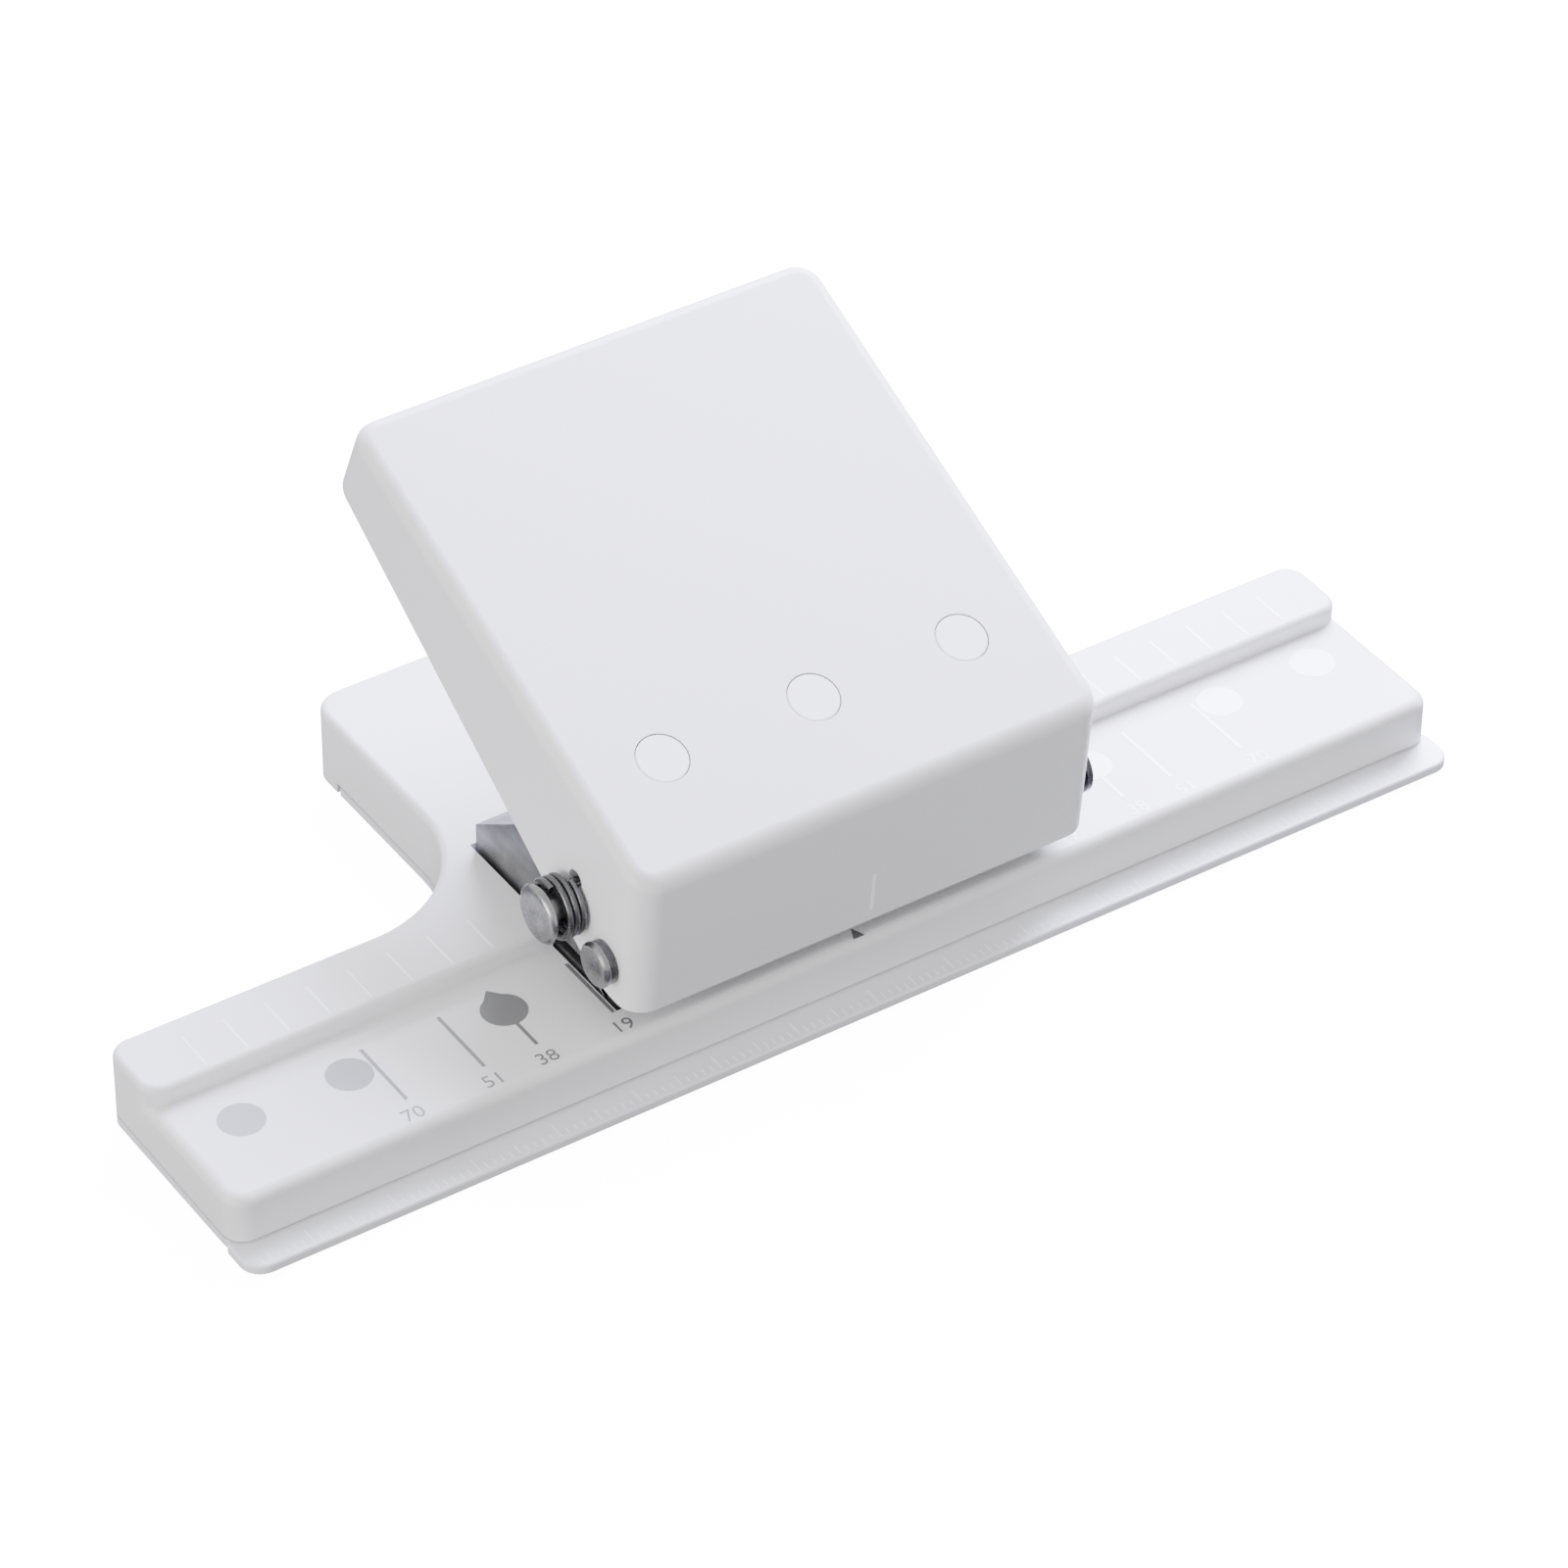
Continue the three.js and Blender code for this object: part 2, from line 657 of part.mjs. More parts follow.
function punchPin(x) {
  const y = -punchSetback;
  const slotHalfHeight = axleRadius + axleSlotGap;
  const headBottom = axleHeight - slotHalfHeight - punchHeadWeb;
  const headTop = axleHeight + slotHalfHeight + punchHeadWeb;
  const body = turned(
    [
      [0, punchRestHeight], [punchRadius, punchRestHeight], [punchRadius, headBottom],
      [punchHeadRadius, headBottom], [punchHeadRadius, headTop - punchChamfer],
      [punchHeadRadius - punchChamfer, headTop], [0, headTop],
    ],
    x, y, 28,
  );
  // The axle drifts to and fro as it swings, so the slot covers its whole sweep.
  const sweep = [0, leverTravel / 2, leverTravel, THREE.MathUtils.radToDeg(axleAngle)]
    .filter((angle) => angle >= 0 && angle <= leverTravel)
    .map((angle) => axleAt(angle).x);
  const slot = block(
    x - punchHeadRadius - 1, x + punchHeadRadius + 1,
    Math.min(...sweep) - slotHalfHeight, Math.max(...sweep) + slotHalfHeight,
    axleHeight - slotHalfHeight, axleHeight + slotHalfHeight,
  );
  const grindRadius = punchRadius * 2;
  const grindCentre = new THREE.Vector2(y, punchRestHeight - grindRadius + punchGrind);
  const grind = rodX(grindRadius, x - punchRadius - 1, x + punchRadius + 1, grindCentre, 48);
  return cut(body, [slot, grind]);
}

// ---------------------------------------------------------------- lever

const rimAngle = leverTravel + 0.2; // the rim lies level, just above the base, when pressed
const rimAlong = new THREE.Vector2(Math.cos(rad(rimAngle)), Math.sin(rad(rimAngle)));
const rimFoot = hinge.clone().add(new THREE.Vector2(rimAlong.y, -rimAlong.x).multiplyScalar(rimOffset));
const topAlong = new THREE.Vector2(Math.cos(rad(leverTilt)), Math.sin(rad(leverTilt)));
const topNormal = new THREE.Vector2(-topAlong.y, topAlong.x);

// Corners of the lever's side outline: front bottom, rim bend, rear bottom, rear top, front top.
function leverCorners() {
  const frontBottom = new THREE.Vector2(-leverFrontSetback, leverFrontGap);
  const frontTop = new THREE.Vector2(
    frontBottom.x - leverFrontHeight * Math.sin(rad(leverFrontLean)),
    frontBottom.y + leverFrontHeight * Math.cos(rad(leverFrontLean)),
  );
  const rimBend = rimFoot.clone().addScaledVector(rimAlong, (leverFrontGap - rimFoot.y) / rimAlong.y);
  const rearTop = frontTop.clone().addScaledVector(topAlong, leverTopLength);
  const gap = rearTop.clone().sub(rimFoot);
  const rimLength = gap.cross(topNormal) / rimAlong.cross(topNormal);
  const rearBottom = rimFoot.clone().addScaledVector(rimAlong, rimLength);
  return { frontBottom, rimBend, rearBottom, rearTop, frontTop };
}

const leverPoints = leverCorners();

function lever() {
  const { frontBottom, rimBend, rearBottom, rearTop, frontTop } = leverPoints;
  const outline = [frontBottom, rimBend, rearBottom, rearTop, frontTop];
  const radii = [leverCorner, rimBendRadius, leverCorner, 0, 0];
  const plain = spread(
    rounded(outline.map((p, i) => ({ x: p.x, y: p.y, r: radii[i] }))), -leverHalf, leverHalf,
  );
  const lowered = inset(outline, [-leverMargin, -leverMargin, 0, 0, 0]);
  const soft = spread(
    rounded(lowered.map((p, i) => ({ x: p.x, y: p.y, r: i > 2 ? leverTopEdge : 0 }))),
    -leverHalf, leverHalf, leverEdge,
  );
  const ends = [
    endCorners(frontBottom, leverFrontLean, 1),
    endCorners(rearBottom, leverTilt, -1),
  ];
  const cavity = inset(outline, [-leverMargin, -leverMargin, leverEndWall, leverTopWall, leverEndWall]);
  const hollow = spread(
    rounded(cavity.map((p, i) => ({ x: p.x, y: p.y, r: i > 2 ? leverCavityCorner : 0 }))),
    -leverInside, leverInside,
  );
  const shell = ends.reduce((rest, end) => rest.intersect(end), plain.intersect(soft)).subtract(hollow);
  const upright = topNormal.clone().multiplyScalar(leverFrontHeight + leverMargin);
  const ribs = Object.values(sides).map((side) => leverRib(side * betweenPunches, upright, plain));
  const recesses = Object.values(punchPlaces).map((x) =>
    dotDisc(x, dotRadius + dotFit, dotThickness + dotFit, 1),
  );
  const axleHole = rodX(axleRadius + runningFit, -leverHalf - 1, leverHalf + 1, axle);
  const pinHole = rodX(hingePinRadius + runningFit, -leverHalf - 1, leverHalf + 1, hinge);
  return cut(join([shell, ...ribs]), [...recesses, axleHole, pinHole, ...springLegHoles()]);
}

// A block that rounds the upright corners of one end, which stands on `foot` and leans by `lean` degrees.
function endCorners(foot, lean, inwards) {
  const far = inwards * 2 * leverTopLength;
  const outline = [
    { x: -leverHalf, y: 0, r: leverEndCorner },
    { x: leverHalf, y: 0, r: leverEndCorner },
    { x: leverHalf, y: far, r: 0 },
    { x: -leverHalf, y: far, r: 0 },
  ];
  const shape = rounded(inwards > 0 ? outline : outline.reverse());
  return raise(shape, -leverTopLength, leverTopLength).rotate([lean, 0, 0]).translate([0, foot.x, foot.y]);
}

// A hanging rib with a round foot that carries the drive axle between two punches.
function leverRib(x, upright, lid) {
  const half = axleBossRadius;
  const left = axle.clone().addScaledVector(topAlong, -half);
  const right = axle.clone().addScaledVector(topAlong, half);
  const web = spread(
    sharp([
      [left.x, left.y], [right.x, right.y],
      [right.x + upright.x, right.y + upright.y], [left.x + upright.x, left.y + upright.y],
    ]),
    x - leverRibThickness / 2, x + leverRibThickness / 2,
  );
  const boss = rodX(half, x - leverRibThickness / 2, x + leverRibThickness / 2, axle);
  return web.intersect(lid).add(boss);
}

// A disc lying in the lever's top face, sunk by `depth` and rising `proud` above it.
function dotDisc(x, radius, depth, proud) {
  const geometry = new THREE.CylinderGeometry(radius, radius, depth + proud, 28);
  geometry.rotateX(Math.PI / 2);
  geometry.translate(0, 0, (proud - depth) / 2);
  geometry.rotateX(rad(leverTilt));
  const at = leverPoints.frontTop.clone().addScaledVector(topAlong, dotOffset);
  geometry.translate(x, at.x, at.y);
  return toSolid(geometry);
}

// ---------------------------------------------------------------- axles, washers, clips and springs

const springInner = leverHalf + coilGap; // inner face of the coil, measured from the middle
const axleEnd = leverHalf + axleOverhang;
const washerStart = axleEnd - axleHeadThickness - axleWasherThickness;
const hingeWasherStart = leverHalf + sideGap;
const hingeHeadStart = hingeWasherStart + hingeWasherThickness + headGap;

// A profile of [radius, x] pairs turned about the X direction through `centre`.
function turnedX(profile, centre, segments = 20) {
  const points = profile.map(([r, x]) => new THREE.Vector2(r, x));
  const geometry = new THREE.LatheGeometry(points, segments);
  geometry.rotateZ(-Math.PI / 2);
  geometry.translate(0, centre.x, centre.y);
  return toSolid(geometry);
}

// A pin with a domed head at its left end and a clip groove at its right end.
function headedPin(radius, headRadius, headOuter, headInner, grooveStart, centre) {
  const groove = radius - clipGrooveDepth;
  const grooveEnd = grooveStart + clipThickness + seatGap * 2;
  return turnedX(
    [
      [0, -headOuter], [headRadius - headEdge, -headOuter], [headRadius, -headOuter + headDome],
      [headRadius, -headInner], [radius, -headInner],
      [radius, grooveStart], [groove, grooveStart], [groove, grooveEnd], [radius, grooveEnd],
      [radius, grooveEnd + pinTip - pinChamfer], [radius - pinChamfer, grooveEnd + pinTip],
      [0, grooveEnd + pinTip],
    ],
    centre,
  );
}

function washer(outer, inner, x0, x1, centre) {
  return rodX(outer, x0, x1, centre).subtract(rodX(inner, x0 - 1, x1 + 1, centre));
}

// A snap ring that opens downwards and sits in a pin's groove.
function snapRing(pinRadius, x, centre) {
  const inner = pinRadius - clipGrooveDepth + seatGap * 2;
  const ring = washer(pinRadius + clipWidth, inner, x + seatGap, x + seatGap + clipThickness, centre);
  const mouth = block(
    x - 1, x + clipThickness + 1, centre.x - inner * clipMouth, centre.x + inner * clipMouth,
    centre.y - pinRadius - clipWidth - 1, centre.y,
  );
  return ring.subtract(mouth);
}

const axleClipStart = washerStart + axleWasherThickness + seatGap;
const hingeClipStart = hingeWasherStart + hingeWasherThickness + seatGap;

// The wire's centre line: a leg inside the lever wall, the turns outside it, and a short free end.
function springPath(side) {
  const points = [];
  const steps = springTurns * 12;
  const start = rad(springStart);
  const legX = leverInside - springLeg;
  const entry = new THREE.Vector2(Math.cos(start), Math.sin(start)).multiplyScalar(springRadius);
  for (const x of [legX, leverInside + springBend, leverHalf - coilGap]) {
    points.push(new THREE.Vector3(side * x, axle.x + entry.x, axle.y + entry.y));
  }
  for (let i = 1; i <= steps; i += 1) {
    const turn = start + (2 * Math.PI * springTurns * i) / steps;
    const x = springInner + springWire + (springPitch * springTurns * (i - 1)) / steps;
    points.push(new THREE.Vector3(
      side * x, axle.x + springRadius * Math.cos(turn), axle.y + springRadius * Math.sin(turn),
    ));
  }
  return new THREE.CatmullRomCurve3(points, false, "centripetal");
}

function returnSpring(side) {
  const section = new THREE.Shape();
  section.absarc(0, 0, springWire, 0, 2 * Math.PI, false);
  const geometry = new THREE.ExtrudeGeometry(section, {
    steps: springTurns * 12 + 5,
    curveSegments: 4,
    bevelEnabled: false,
    extrudePath: springPath(side),
  });
  return toSolid(geometry);
}

function springLegHoles() {
  return Object.values(sides).map((side) => {
    const path = springPath(side);
    const entry = path.points[0];
    const near = Math.min(side * (leverInside - 1), side * (leverHalf + 1));
    const far = Math.max(side * (leverInside - 1), side * (leverHalf + 1));
    return rodX(springWire + legHoleGap, near, far, new THREE.Vector2(entry.y, entry.z), 16);
  });
}

// ---------------------------------------------------------------- the assembly

add("base_body", baseBody(), whitePlastic);
add("bottom_cover", bottomCover(), palePlastic);
add("cover_hinge_pin", coverPin(), brightSteel);
for (const [place, at] of Object.entries(footPlaces)) add(`foot_${place}`, foot(at), rubber);

add("die_plate", diePlate(), brushedSteel);
add("punch_frame", punchFrame(), brushedSteel);
add("guide_plate", guidePlate(), brushedSteel);
add("throat_stop", throatStop(), brushedSteel);
for (const [place, side] of Object.entries(sides)) {
  add(`guide_rivet_${place}`, rivet(side * betweenPunches), brightSteel);
}
screwPlaces().forEach((x, i) => add(`frame_screw_${i + 1}`, frameScrew(x), brightSteel));

for (const [place, x] of Object.entries(punchPlaces)) {
  add(`punch_pin_${place}`, punchPin(x), hardenedSteel);
}

add("lever", lever(), whitePlastic);
for (const [place, x] of Object.entries(punchPlaces)) {
  add(`punch_dot_${place}`, dotDisc(x, dotRadius, dotThickness, 0), dotPlastic);
}

add(
  "hinge_pin",
  headedPin(
    hingePinRadius, hingeHeadRadius, hingeHeadStart + hingeHeadThickness, hingeHeadStart,
    hingeClipStart, hinge,
  ),
  brightSteel,
);
add("hinge_clip", snapRing(hingePinRadius, hingeClipStart, hinge), springSteel);
add(
  "drive_axle",
  headedPin(axleRadius, axleHeadRadius, axleEnd, axleEnd - axleHeadThickness, axleClipStart, axle),
  brightSteel,
);
add("axle_clip", snapRing(axleRadius, axleClipStart, axle), springSteel);
for (const [place, side] of Object.entries(sides)) {
  const bore = hingePinRadius + runningFit;
  const hingeEnds = [side * hingeWasherStart, side * (hingeWasherStart + hingeWasherThickness)];
  add(
    `hinge_washer_${place}`,
    washer(hingeWasherRadius, bore, Math.min(...hingeEnds), Math.max(...hingeEnds), hinge),
    springSteel,
  );
  const axleEnds = [side * washerStart, side * (washerStart + axleWasherThickness - seatGap)];
  add(
    `axle_washer_${place}`,
    washer(axleWasherRadius, axleRadius + runningFit, Math.min(...axleEnds), Math.max(...axleEnds), axle),
    brightSteel,
  );
  add(`return_spring_${place}`, returnSpring(side), springSteel);
}

punch.position.set(0, (bedDepth + lipDepth - stemReach) / 2, footHeight - coverBottom);

export default punch;
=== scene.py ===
"""The looks of a three-hole lever punch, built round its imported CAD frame.

Sizes are in millimetres in the bed frame: X runs along the paper stop, Y points to the rear and
Z is up, with Y = 0 at the stop and Z = 0 on the paper bed. at() turns such a place into the row frame.
"""
import math

import bpy
from mathutils import Matrix, Vector


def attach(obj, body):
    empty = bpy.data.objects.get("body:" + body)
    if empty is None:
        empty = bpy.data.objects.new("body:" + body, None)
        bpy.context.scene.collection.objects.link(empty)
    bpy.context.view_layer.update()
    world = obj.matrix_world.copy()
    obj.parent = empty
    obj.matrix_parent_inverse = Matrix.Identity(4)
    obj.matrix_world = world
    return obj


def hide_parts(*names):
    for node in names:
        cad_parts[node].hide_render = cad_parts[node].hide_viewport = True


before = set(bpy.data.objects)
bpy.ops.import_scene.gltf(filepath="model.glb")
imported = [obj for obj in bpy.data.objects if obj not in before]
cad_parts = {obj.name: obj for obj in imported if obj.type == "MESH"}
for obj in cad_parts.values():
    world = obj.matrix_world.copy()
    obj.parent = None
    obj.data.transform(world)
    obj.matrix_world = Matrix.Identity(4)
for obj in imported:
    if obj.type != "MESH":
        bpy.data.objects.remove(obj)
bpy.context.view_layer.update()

MM = 0.001
BED_SHIFT = Vector((0, -13.7, 7.6))  # bed frame to row frame
CROSS = {"X": (1, 2, 0), "Y": (0, 2, 1), "Z": (0, 1, 2)}  # where an outline's two axes and its depth go


# ---------------------------------------------------------------- sizes

BAR_HALF = 77.5
BED_DEPTH = 17.2
STRIP_DEPTH = 9.5
FENCE = 2.4
STEM_HALF = 29.7
STEM_REACH = 48.6
STEM_FILLET = 15
BODY_DEPTH = 5.75
SHELL = 1.8
COVER_TOP = -6.0
COVER_BOTTOM = -7.1
LIP_HALF = 77.8
LIP_FRONT = -21.2
LIP_BACK = -15.4
BAR_CORNER = 2.5  # how round the bar's ends are, seen from above
STEM_CORNER = 3.5
COVER_HINGE = (45.2, -5.7)
COVER_PIN_HOLE = 0.86
SKIRT_FRONT = 42.8
FOOT_PLACES = {
    "front_left": (-68.5, -6), "front_right": (68.5, -6),
    "rear_left": (-20.7, 34.6), "rear_right": (20.7, 34.6),
}

LEVER_HALF = 29.5
LEVER_INSIDE = 28
LEVER_TILT = math.radians(23.4)
LEVER_FRONT_LEAN = math.radians(5.5)
FRONT_BOTTOM = (-18, 3)
RIM_BEND = (-11.2, 3)
REAR_BOTTOM = (41.4, 37.5)
REAR_TOP = (37.57, 46.43)
FRONT_TOP = (-19.79, 21.61)
RIM_ANGLE = math.atan2(REAR_BOTTOM[1] - RIM_BEND[1], REAR_BOTTOM[0] - RIM_BEND[0])
LEVER_WALL = 1.8
LEVER_ROOF = 2
DOT_REACH = 13.2  # how far up the lever's top face the dots are

HINGE = (-13, 7.8)
AXLE = (-6.5, 11.5)
AXLE_RADIUS = 2
AXLE_HOLE = 2.06
AXLE_GROOVE = 33.52
HINGE_RADIUS = 1.5
HINGE_HOLE = 1.56
HINGE_GROOVE = 30.42
COIL_RADIUS = 3.25
LEG_TURN = math.radians(100)  # where on the coil its leg leaves
GROOVE_WIDTH = 0.74

FRAME_HALF = 27.6
FRAME_INSIDE = 26.4
FRAME_SHEET = 1.2
FRAME_REAR = 16.4
FRAME_TOP = 15.4
FRAME_SLOPE = math.radians(34)
SLOPE_TOP = FRAME_REAR - 10 / math.tan(FRAME_SLOPE)
PRESS_TURN = math.radians(33)  # how far the lever turns when it is pressed
DIE_BOTTOM, DIE_TOP = -1.18, 0.28
DIE_FRONT = -12.2
GUIDE_BOTTOM, GUIDE_TOP = 1.7, 3.2
GUIDE_FRONT, GUIDE_REAR = -14.4, 4.6
TAB_PLACES = (-12.4, -4)
TAB_DEPTH = 3

PUNCH_ROW = -6
PUNCH_PLACES = {"left": -19, "centre": 0, "right": 19}
BETWEEN_PUNCHES = 9.5
RIVET_PLACES = (-BETWEEN_PUNCHES, BETWEEN_PUNCHES)
RIVET_ROW = 2.4
SCREW_PLACES = (-9, 9, -22, 22)
SCREW_ROW = 11.5
SIDES = {"left": -1, "right": 1}

MARK_SINK = 0.05  # how far a mark goes into its face
MARK_HEIGHT = 0.03
SPOT_RADIUS = 2.6
FIGURE_SIZE = 2.6


# ---------------------------------------------------------------- modelling helpers

def at(x, y, z):
    return (Vector((x, y, z)) + BED_SHIFT) * MM


def bed(place):
    return place / MM - BED_SHIFT


def lay(axis, a, b, depth):
    """The place of an outline's corner (a, b) that lies square to an axis, at a depth along it."""
    place = [0, 0, 0]
    for value, slot in zip((a, b, depth), CROSS[axis]):
        place[slot] = value
    return at(*place)


def put_down():
    if bpy.context.object and bpy.context.object.mode != "OBJECT":
        bpy.ops.object.mode_set(mode="OBJECT")
    bpy.ops.object.select_all(action="DESELECT")


def take(piece):
    put_down()
    piece.select_set(True)
    bpy.context.view_layer.objects.active = piece


def start_corner(name, place):
    """A new piece that is a single corner, in edit mode, ready to be extruded."""
    put_down()
    bpy.ops.mesh.primitive_plane_add(size=MM, location=place)
    piece = bpy.context.object
    piece.name = name
    bpy.ops.object.transform_apply(location=True, rotation=True, scale=True)
    bpy.ops.object.mode_set(mode="EDIT")
    bpy.ops.mesh.select_mode(type="VERT")
    bpy.ops.mesh.select_all(action="SELECT")
    bpy.ops.mesh.merge(type="CENTER")
    return piece


def extrude_along(places):
    for here, there in zip(places, places[1:]):
        bpy.ops.mesh.extrude_region_move(TRANSFORM_OT_translate={"value": there - here})


def outline_block(name, corners, axis, start, end):
    """A block with the given outline, drawn corner by corner and extruded from start to end."""
    places = [lay(axis, a, b, start) for a, b in corners]
    piece = start_corner(name, places[0])
    extrude_along(places)
    bpy.ops.mesh.select_all(action="SELECT")
    bpy.ops.mesh.edge_face_add()
    lift = lay(axis, 0, 0, end) - lay(axis, 0, 0, start)
    bpy.ops.mesh.extrude_region_move(TRANSFORM_OT_translate={"value": lift})
    bpy.ops.mesh.select_all(action="SELECT")
    bpy.ops.mesh.normals_make_consistent(inside=False)
    put_down()
    return piece


def box_block(name, x0, x1, y0, y1, z0, z1):
    return outline_block(name, [(x0, y0), (x1, y0), (x1, y1), (x0, y1)], "Z", z0, z1)


def span(side, inner, outer):
    """The two ends, in rising order, of a stretch on the left or right side."""
    return sorted((side * inner, side * outer))


def spun(name, profile, axis, centre, steps=48):
    """A profile of (radius, place along the axis) corners spun round the axis through a centre."""
    across = CROSS[axis]
    places = []
    for radius, along in profile:
        place = [0, 0, 0]
        place[across[0]] = centre[0] + radius
        place[across[1]] = centre[1]
        place[across[2]] = along
        places.append(at(*place))
    piece = start_corner(name, places[0])
    extrude_along(places)
    if profile[0][0] > 0:
        bpy.ops.mesh.select_all(action="SELECT")
        bpy.ops.mesh.edge_face_add()
        bpy.ops.mesh.delete(type="ONLY_FACE")
    bpy.ops.mesh.select_all(action="SELECT")
    direction = [0, 0, 0]
    direction[across[2]] = 1
    bpy.ops.mesh.spin(steps=steps, angle=2 * math.pi, center=lay(axis, *centre, 0), axis=direction)
    bpy.ops.mesh.select_all(action="SELECT")
    bpy.ops.mesh.remove_doubles(threshold=2e-7)
    bpy.ops.mesh.normals_make_consistent(inside=False)
    put_down()
    return piece


def rod(name, radius, axis, centre, start, end, steps=40):
    return spun(name, [(0, start), (radius, start), (radius, end), (0, end)], axis, centre, steps)


def pick_edges(piece, wanted):
    """Selects, in edit mode, the edges whose two bed-frame ends pass the test."""
    take(piece)
    bpy.ops.object.mode_set(mode="EDIT")
    bpy.ops.mesh.select_mode(type="EDGE")
    bpy.ops.mesh.select_all(action="DESELECT")
    bpy.ops.object.mode_set(mode="OBJECT")
    ends = [bed(vertex.co) for vertex in piece.data.vertices]
    for edge in piece.data.edges:
        a, b = edge.vertices
        edge.select = wanted(ends[a], ends[b])
    bpy.ops.object.mode_set(mode="EDIT")


def bevel_edges(piece, wanted, width, segments=4):
    pick_edges(piece, wanted)
    bpy.ops.mesh.bevel(
        offset=width * MM, offset_type="OFFSET", segments=segments, affect="EDGES", clamp_overlap=False,
    )
    bpy.ops.mesh.select_all(action="SELECT")
    bpy.ops.mesh.remove_doubles(threshold=1e-7)
    put_down()


def upright_at(corners, reach=0.3):
    """True for an upright edge that stands at one of the (x, y) corners."""
    def wanted(a, b):
        same = abs(a.x - b.x) < 0.01 and abs(a.y - b.y) < 0.01 and abs(a.z - b.z) > 0.01
        return same and any(abs(a.x - x) < reach and abs(a.y - y) < reach for x, y in corners)
    return wanted


def at_height(z):
    return lambda a, b: abs(a.z - z) < 0.01 and abs(b.z - z) < 0.01


def combine(piece, tools, operation):
    """Cuts the tools from the piece, or joins them to it, and removes them."""
    for tool in tools:
        take(piece)
        change = piece.modifiers.new("combine", "BOOLEAN")
        change.operation = operation
        change.solver = "EXACT"
        change.object = tool
        bpy.ops.object.modifier_apply(modifier=change.name)
        bpy.data.objects.remove(tool)
    return piece


def cut(piece, *tools):
    return combine(piece, tools, "DIFFERENCE")


def add(piece, *tools):
    return combine(piece, tools, "UNION")


def soften(piece, width, segments=2, angle=40):
    """Breaks every edge sharper than the angle."""
    take(piece)
    edge = piece.modifiers.new("soften", "BEVEL")
    edge.width = width * MM
    edge.segments = segments
    edge.limit_method = "ANGLE"
    edge.angle_limit = math.radians(angle)
    edge.use_clamp_overlap = True
    bpy.ops.object.modifier_apply(modifier=edge.name)


def pick_open_edges():
    bpy.ops.mesh.select_all(action="DESELECT")
    bpy.ops.mesh.select_non_manifold(
        extend=False, use_wire=False, use_multi_face=False, use_verts=False,
    )


def close_slits(piece):
    """Merges corners a hair apart, closes the slits that cuts can leave and drops loose slivers."""
    take(piece)
    bpy.ops.object.mode_set(mode="EDIT")
    bpy.ops.mesh.select_mode(type="VERT")
    bpy.ops.mesh.select_all(action="SELECT")
    bpy.ops.mesh.remove_doubles(threshold=0.012 * MM)
    pick_open_edges()
    bpy.ops.mesh.fill_holes(sides=5)
    bpy.ops.mesh.select_mode(type="EDGE")
    pick_open_edges()
    bpy.ops.mesh.select_mode(type="FACE")
    bpy.ops.mesh.delete(type="FACE")
    put_down()


def smooth(piece, angle=35):
    take(piece)
    bpy.ops.object.shade_smooth_by_angle(angle=math.radians(angle))
    weight = piece.modifiers.new("even", "WEIGHTED_NORMAL")
    weight.keep_sharp = True
    weight.weight = 80
    bpy.ops.object.modifier_apply(modifier=weight.name)


def join_pieces(name, pieces):
    put_down()
    for piece in pieces:
        piece.select_set(True)
    bpy.context.view_layer.objects.active = pieces[0]
    if len(pieces) > 1:
        bpy.ops.object.join()
    pieces[0].name = name
    put_down()
    return pieces[0]


def copy_piece(piece, name, move):
    """A copy with its own mesh, moved by a vector in millimetres."""
    copy = piece.copy()
    copy.data = piece.data.copy()
    copy.name = name
    bpy.context.scene.collection.objects.link(copy)
    copy.data.transform(Matrix.Translation(Vector(move) * MM))
    return copy


def settle(piece, body, material, nodes=(), angle=35):
    """Smooths a finished piece, gives it its finish and lets it ride on its body."""
    close_slits(piece)
    smooth(piece, angle)
    piece.data.materials.clear()
    piece.data.materials.append(material)
    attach(piece, body)
    if nodes:
        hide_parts(*nodes)


# ---------------------------------------------------------------- shared shader groups

def new_group(name, inputs, outputs):
    group = bpy.data.node_groups.new(name, "ShaderNodeTree")
    for label, kind, value in inputs:
        socket = group.interface.new_socket(label, in_out="INPUT", socket_type=kind)
        if value is not None:
            socket.default_value = value
    for label, kind in outputs:
        group.interface.new_socket(label, in_out="OUTPUT", socket_type=kind)
    return group, group.nodes.new("NodeGroupInput"), group.nodes.new("NodeGroupOutput")


def node(tree, kind, links=None, **settings):
    made = tree.nodes.new(kind)
    for key, value in settings.items():
        setattr(made, key, value)
    for socket, source in (links or {}).items():
        if isinstance(source, bpy.types.NodeSocket):
            tree.links.new(source, made.inputs[socket])
        else:
            made.inputs[socket].default_value = source
    return made


def math_node(tree, operation, a, b=0.0, clamp=False):
    made = node(tree, "ShaderNodeMath", {0: a, 1: b}, operation=operation)
    made.use_clamp = clamp
    return made.outputs[0]


def noise(tree, place, scale, detail, roughness=0.5):
    given = {"Vector": place, "Scale": scale, "Detail": detail, "Roughness": roughness}
    return node(tree, "ShaderNodeTexNoise", given).outputs["Fac"]


def spread(tree, value, low, high, **ends):
    """A value stretched from the span low..high to 0..1, or to other ends."""
    values = {"Value": value, "From Min": low, "From Max": high}
    values.update((key.replace("_", " "), end) for key, end in ends.items())
    return node(tree, "ShaderNodeMapRange", values).outputs["Result"]


